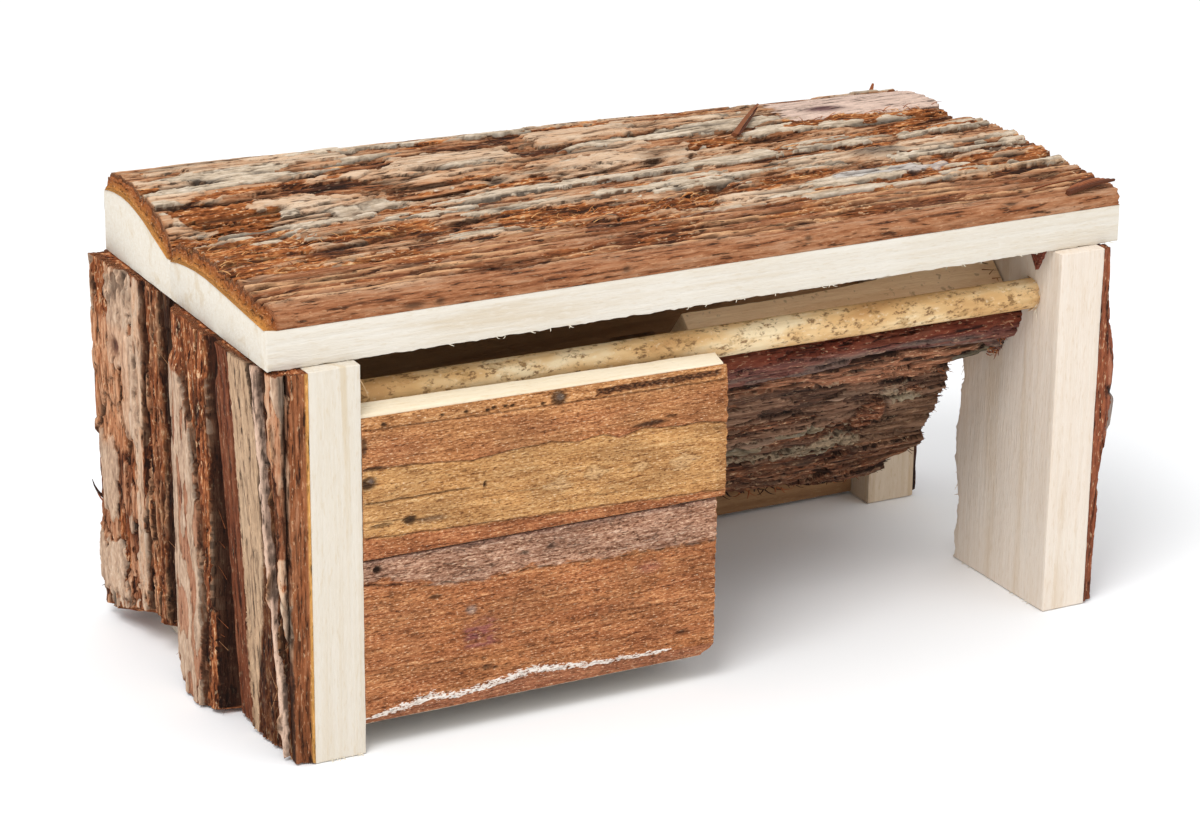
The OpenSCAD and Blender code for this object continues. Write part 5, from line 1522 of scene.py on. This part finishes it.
# ---------------------------------------------------------------- splinters and fibres
def splinters():
    rng = np.random.default_rng(7)
    pale = lin(236, 226, 206)[:3]
    tan = lin(206, 170, 128)[:3]
    dark = lin(52, 30, 20)[:3]
    rust = lin(150, 86, 52)[:3]
    w = Strands()
    # along the roof's lower front edge
    for x in rng.uniform(-128, 138, 26):
        ln = rng.uniform(0.3, 1.2)
        z = H + 0.15
        w.add((x, -62.6, z), (x + rng.uniform(-1.6, 1.6), -63.2 - rng.uniform(0, 0.8), z - ln * 0.55), 0.16, 0.03,
              (rng.uniform(-0.3, 0.3), 0, -0.2), col=pale)
    # feet of the front boards
    for x in rng.uniform(-129, -115, 16):
        w.add((x, -66.6, 0.6), (x + rng.uniform(-1.5, 1.5), -67.4 - rng.uniform(0, 0.9), 0.12), 0.16, 0.05, (0, 0, 0.2), col=pale)
    for y in rng.uniform(-60, -18, 14):
        w.add((116.9, y, 0.6), (116.2 - rng.uniform(0, 0.8), y + rng.uniform(-1, 1), 0.15), 0.14, 0.05, col=pale)
    # torn back edge of the right board
    for z in rng.uniform(20, 92, 30):
        y = -15 + float(np.interp(z, [20, 60, 85, 92], [-1.2, -0.6, 1.4, 1.4]))
        x = rng.uniform(117, 124)
        w.add((x, y - 1.0, z), (x + rng.uniform(-0.6, 0.6), y + rng.uniform(0.5, 2.2), z - rng.uniform(0.5, 5)), 0.2, 0.04,
              (0, 0.4, 0), col=tan if rng.random() < 0.4 else pale)
    # fuzz round the rail's hole
    for a in rng.uniform(0, 2 * np.pi, 46):
        r = 4.75
        y, z = -52 + r * math.cos(a), 100.5 + r * math.sin(a)
        w.add((116.4, y, z), (116.0 - rng.uniform(0.3, 1.5), y + 1.1 * math.cos(a + 0.8) + rng.uniform(-.5, .5),
                              z + 1.1 * math.sin(a + 0.8)), 0.14, 0.04, col=tan if rng.random() < 0.5 else pale)
    for a, b in (((116.3, -55.5, 96.6), (114.6, -56.6, 95.2)), ((116.3, -54.5, 96.2), (115.6, -56.8, 93.0))):
        w.add(a, b, 0.2, 0.05, (0, -0.4, 0.5), col=pale)
    # a loose splinter behind the panel's left end
    w.add((-112.5, -61.5, 111.5), (-109.6, -62.0, 105.2), 0.28, 0.08, (0.2, 0, 0), col=tan)
    w.mesh("wood_splinters", STRAND)

    d = Strands()
    # frayed right end of the slab, by distance down the slope
    for _ in range(60):
        s = rng.uniform(1, 19)
        x = 116.0
        a = np.array([[x - rng.uniform(0, 4), s, rng.uniform(-0.4, 3)]])
        b = np.array([[x + rng.uniform(-1.0, 0.5), s + rng.uniform(-1, 4.5), rng.uniform(-1.5, 1)]])
        c = [rust, lin(116, 56, 40)[:3], lin(196, 140, 100)[:3]][int(rng.integers(3))]
        d.add(slope_map(a)[0], slope_map(b)[0], 0.26, 0.05, (0, 0, -0.4), col=c)
    for _ in range(70):
        s = rng.uniform(20, 80)
        x = float(np.interp(s, SEDGE[:, 0], SEDGE[:, 1]))
        a = np.array([[x - rng.uniform(1, 4), s, rng.uniform(0, 3)]])
        b = np.array([[min(x + rng.uniform(-0.5, 1.6), 116.2), s + rng.uniform(-1.0, 2.6), rng.uniform(-0.6, 1)]])
        c = [rust, lin(92, 60, 42)[:3], dark][int(rng.integers(3))]
        d.add(slope_map(a)[0], slope_map(b)[0], 0.24, 0.05, (0, 0, -0.3), col=c)
    # hanging fibres and the dark splinter at the lower edge
    for _ in range(60):
        x = rng.uniform(40, 106)
        s = 92 + float(np.interp(x, [40, 56, 65, 77, 93, 107], [-2.5, 1.0, 2.4, 2.0, 2.8, -1.0]))
        a = np.array([[x, s - 1.5, rng.uniform(1.5, 4.5)]])
        b = np.array([[x + rng.uniform(-1, 7), s + rng.uniform(0.5, 4.5), rng.uniform(1, 5)]])
        d.add(slope_map(a)[0], slope_map(b)[0], 0.3, 0.06, (0, 0, -0.5), col=dark if rng.random() < 0.6 else rust)
    for k in range(6):
        a = np.array([[84 - 2 * k, 88 - k, 2.2]])
        b = np.array([[106.5 - 0.6 * k, 84.6 + 1.3 * k, 1.0]])
        d.add(slope_map(a)[0], slope_map(b)[0], 1.0, 0.25, (0, 0, -0.8), flat=0.5, col=dark)
    for k in range(5):
        a = np.array([[90 + k, 91, 2.5]])
        b = np.array([[99 + 0.8 * k, 95 + 0.7 * k, 3.0]])
        d.add(slope_map(a)[0], slope_map(b)[0], 0.4, 0.08, (0, 0, 0.8), col=dark)
    # splinters on the left wall and on the roof
    d.add((-143.5, 62.0, 38.0), (-147.2, 63.2, 44.5), 1.1, 0.15, (-0.5, 0, -0.6), flat=0.5, col=dark)
    d.add((-143.0, 62.0, 36.0), (-146.0, 63.4, 41.0), 0.8, 0.1, (-0.4, 0, -0.4), flat=0.5, col=rust)
    d.add((-142.0, 60.0, 10.0), (-145.8, 62.5, 9.2), 0.9, 0.12, (0, 0, 0.4), flat=0.5, col=dark)
    for k in range(5):
        d.add((121 + k, -61.6 + 0.8 * k, 134.2 + 0.15 * k), (138.6 - 1.3 * k, -60.8 + 0.9 * k, 136.0), 1.5 - 0.1 * k, 0.8,
              (0, 0, 0.5), flat=0.6, col=[lin(96, 54, 34)[:3], lin(122, 68, 42)[:3], rust, lin(150, 92, 60)[:3], lin(84, 46, 30)[:3]][k])
    d.add((112, -56.5, 135.2), (130, -56.0, 136.2), 0.7, 0.2, (0, 0, 0.5), flat=0.5, col=rust)
    d.add((57, 29.0, 137.6), (74, 44.0, 142.0), 1.3, 0.6, (0, 0, 0.5), flat=0.6, col=lin(132, 80, 52)[:3])
    d.add((58.0, 28.2, 137.6), (73.0, 42.6, 141.4), 0.7, 0.4, (0.2, -0.4, 0.3), flat=0.6, col=lin(84, 48, 34)[:3])
    d.add((126.5, 60, 136.2), (128, 61, 138.9), 0.9, 0.4, col=rust)
    # torn end of the slab's sawn face
    for _ in range(6):
        n = rng.uniform(6, 22)
        a = np.array([[rng.uniform(110, 114.5), -0.2, n]])
        b = np.array([[rng.uniform(113.5, 116.4), rng.uniform(-0.9, 0.2), n + rng.uniform(-1.5, 1.5)]])
        d.add(slope_map(a)[0], slope_map(b)[0], 0.18, 0.05, col=[rust, lin(176, 126, 84)[:3], dark][int(rng.integers(3))])
    # torn fibres in the left wall's furrows
    for _ in range(54):
        z = rng.uniform(4, 112)
        y0 = [(-62.5, 2.0), (-56.5, 1.5), (12.0, 2.5), (-24.6, 0.8)][int(rng.integers(4))]
        y = y0[0] + rng.uniform(-1, 1) * y0[1]
        x = -141.5 if y > -30 else -138.5
        d.add((x + 3, y, z), (x + rng.uniform(-0.6, 1.6), y + rng.uniform(-0.7, 0.7), z + rng.uniform(-9, 9)), 0.13, 0.04,
              (0, rng.uniform(-.5, .5), 0), col=[rust, lin(190, 138, 96)[:3], dark][int(rng.integers(3))])
    # and on the roof's orange tears
    for x0, x1, y0, y1, n in ((-40, 16, -33, -21, 70), (-139, -118, -36, 6, 60), (-112, -78, -22, -14, 30), (80, 134, 31, 35, 30)):
        for _ in range(n):
            x, y = rng.uniform(x0, x1), rng.uniform(y0, y1)
            z = float(np.interp(y, [-63, -49, -34, -16, 0, 9, 20, 37, 50], [132, 135.4, 137.0, 137.6, 136.6, 133.6, 137, 138.6, 140])) - 0.5
            d.add((x, y, z - 0.4), (min(x + rng.uniform(-5, 5), 138.0), y + rng.uniform(-1.2, 1.2), z + rng.uniform(0.2, 1.1)), 0.16, 0.04,
                  (0, 0, 0.3), col=[lin(196, 122, 64)[:3], lin(226, 170, 112)[:3], rust][int(rng.integers(3))])
    d.mesh("bark_splinters", STRAND)


k = Nodes("strand", 0.85, 0.15)
t_ = k.attr("tint").outputs["Color"]
n_ = k.wide(k.vmul(k.attr("flow").outputs["Vector"], (2.0, 2.0, 2.0)), 2, 0.6)
c_ = k.mix(k.math("MULTIPLY", n_, 0.45), t_, k.mix(0.5, t_, (0.02, 0.01, 0.008, 1)))
STRAND = k.finish(c_, 0.85, k.bump(n_, 0.3, 0.0002))
splinters()

# ---------------------------------------------------------------- nails
k = Nodes("nail_steel", 0.38, 0.5)
k.b.inputs["Metallic"].default_value = 1.0
f_ = k.noise(k.vmul(k.obj(), (900, 900, 900)), 3, 0.6)
STEEL = k.finish(k.ramp(f_, [(0.3, (0.42, 0.42, 0.44, 1)), (0.7, (0.62, 0.62, 0.64, 1))]),
                 k.math("MULTIPLY_ADD", f_, 0.25, 0.28), k.bump(f_, 0.2, 0.0002))
for name in ("roof_nails", "back_wall_nails", "panel_nails", "slope_nails", "batten_nails"):
    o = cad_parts[name]
    o.data.materials.clear()
    o.data.materials.append(STEEL)


# ---------------------------------------------------------------- stage
def stage():
    me = bpy.data.meshes.new("floor")
    s = 6.0
    me.from_pydata([(-s, -s, 0), (s, -s, 0), (s, s, 0), (-s, s, 0)], [], [(0, 1, 2, 3)])
    ob = bpy.data.objects.new("floor", me)
    bpy.context.scene.collection.objects.link(ob)
    k = Nodes("floor", 0.7, 0.0)
    k.b.inputs["Base Color"].default_value = (0.92, 0.92, 0.925, 1)
    me.materials.append(k.m)

    w = bpy.data.worlds.new("studio")
    bpy.context.scene.world = w
    w.use_nodes = True
    bg = w.node_tree.nodes["Background"]
    bg.inputs[0].default_value = (0.975, 0.99, 1.0, 1)
    bg.inputs[1].default_value = 0.96

    def area(name, loc, target, size, power, color=(1, 1, 1)):
        d = bpy.data.lights.new(name, "AREA")
        d.shape, d.size, d.size_y = "RECTANGLE", size[0], size[1]
        d.energy, d.color = power, color
        o = bpy.data.objects.new(name, d)
        bpy.context.scene.collection.objects.link(o)
        o.location = loc
        o.rotation_mode = "QUATERNION"
        o.rotation_quaternion = (Vector(target) - Vector(loc)).to_track_quat("-Z", "Y")

    area("key", (-0.82, -0.64, 1.55), (0, 0, 0.05), (0.8, 0.8), 17.0)
    area("fill", (0.9, -1.2, 0.8), (0, 0, 0.05), (0.9, 0.7), 1.6)


stage()

# ---------------------------------------------------------------- camera
cam = bpy.data.cameras.new("cam")
cam.sensor_width = 36.0
cam.lens = 3488.6 / 1200 * 36
cam.clip_start, cam.clip_end = 0.05, 20
co = bpy.data.objects.new("cam", cam)
bpy.context.scene.collection.objects.link(co)
az, el, roll = math.radians(-27.7548), math.radians(19.9071), math.radians(0.5588)
back = np.array([math.sin(az) * math.cos(el), -math.cos(az) * math.cos(el), math.sin(el)])
right = np.cross(-back, [0, 0, 1])
right /= np.linalg.norm(right)
upv = np.cross(right, -back)
r2 = math.cos(roll) * right + math.sin(roll) * upv
u2 = -math.sin(roll) * right + math.cos(roll) * upv
pos = (np.array([-474.27, -891.81, 426.97]) + [SX, SY, 0]) * 0.001
m4 = Matrix.Identity(4)
for i in range(3):
    m4[i][0], m4[i][1], m4[i][2], m4[i][3] = r2[i], u2[i], back[i], pos[i]
co.matrix_world = m4
bpy.context.scene.camera = co
vs = bpy.context.scene.view_settings
vs.view_transform = "Standard"
vs.look = "None"
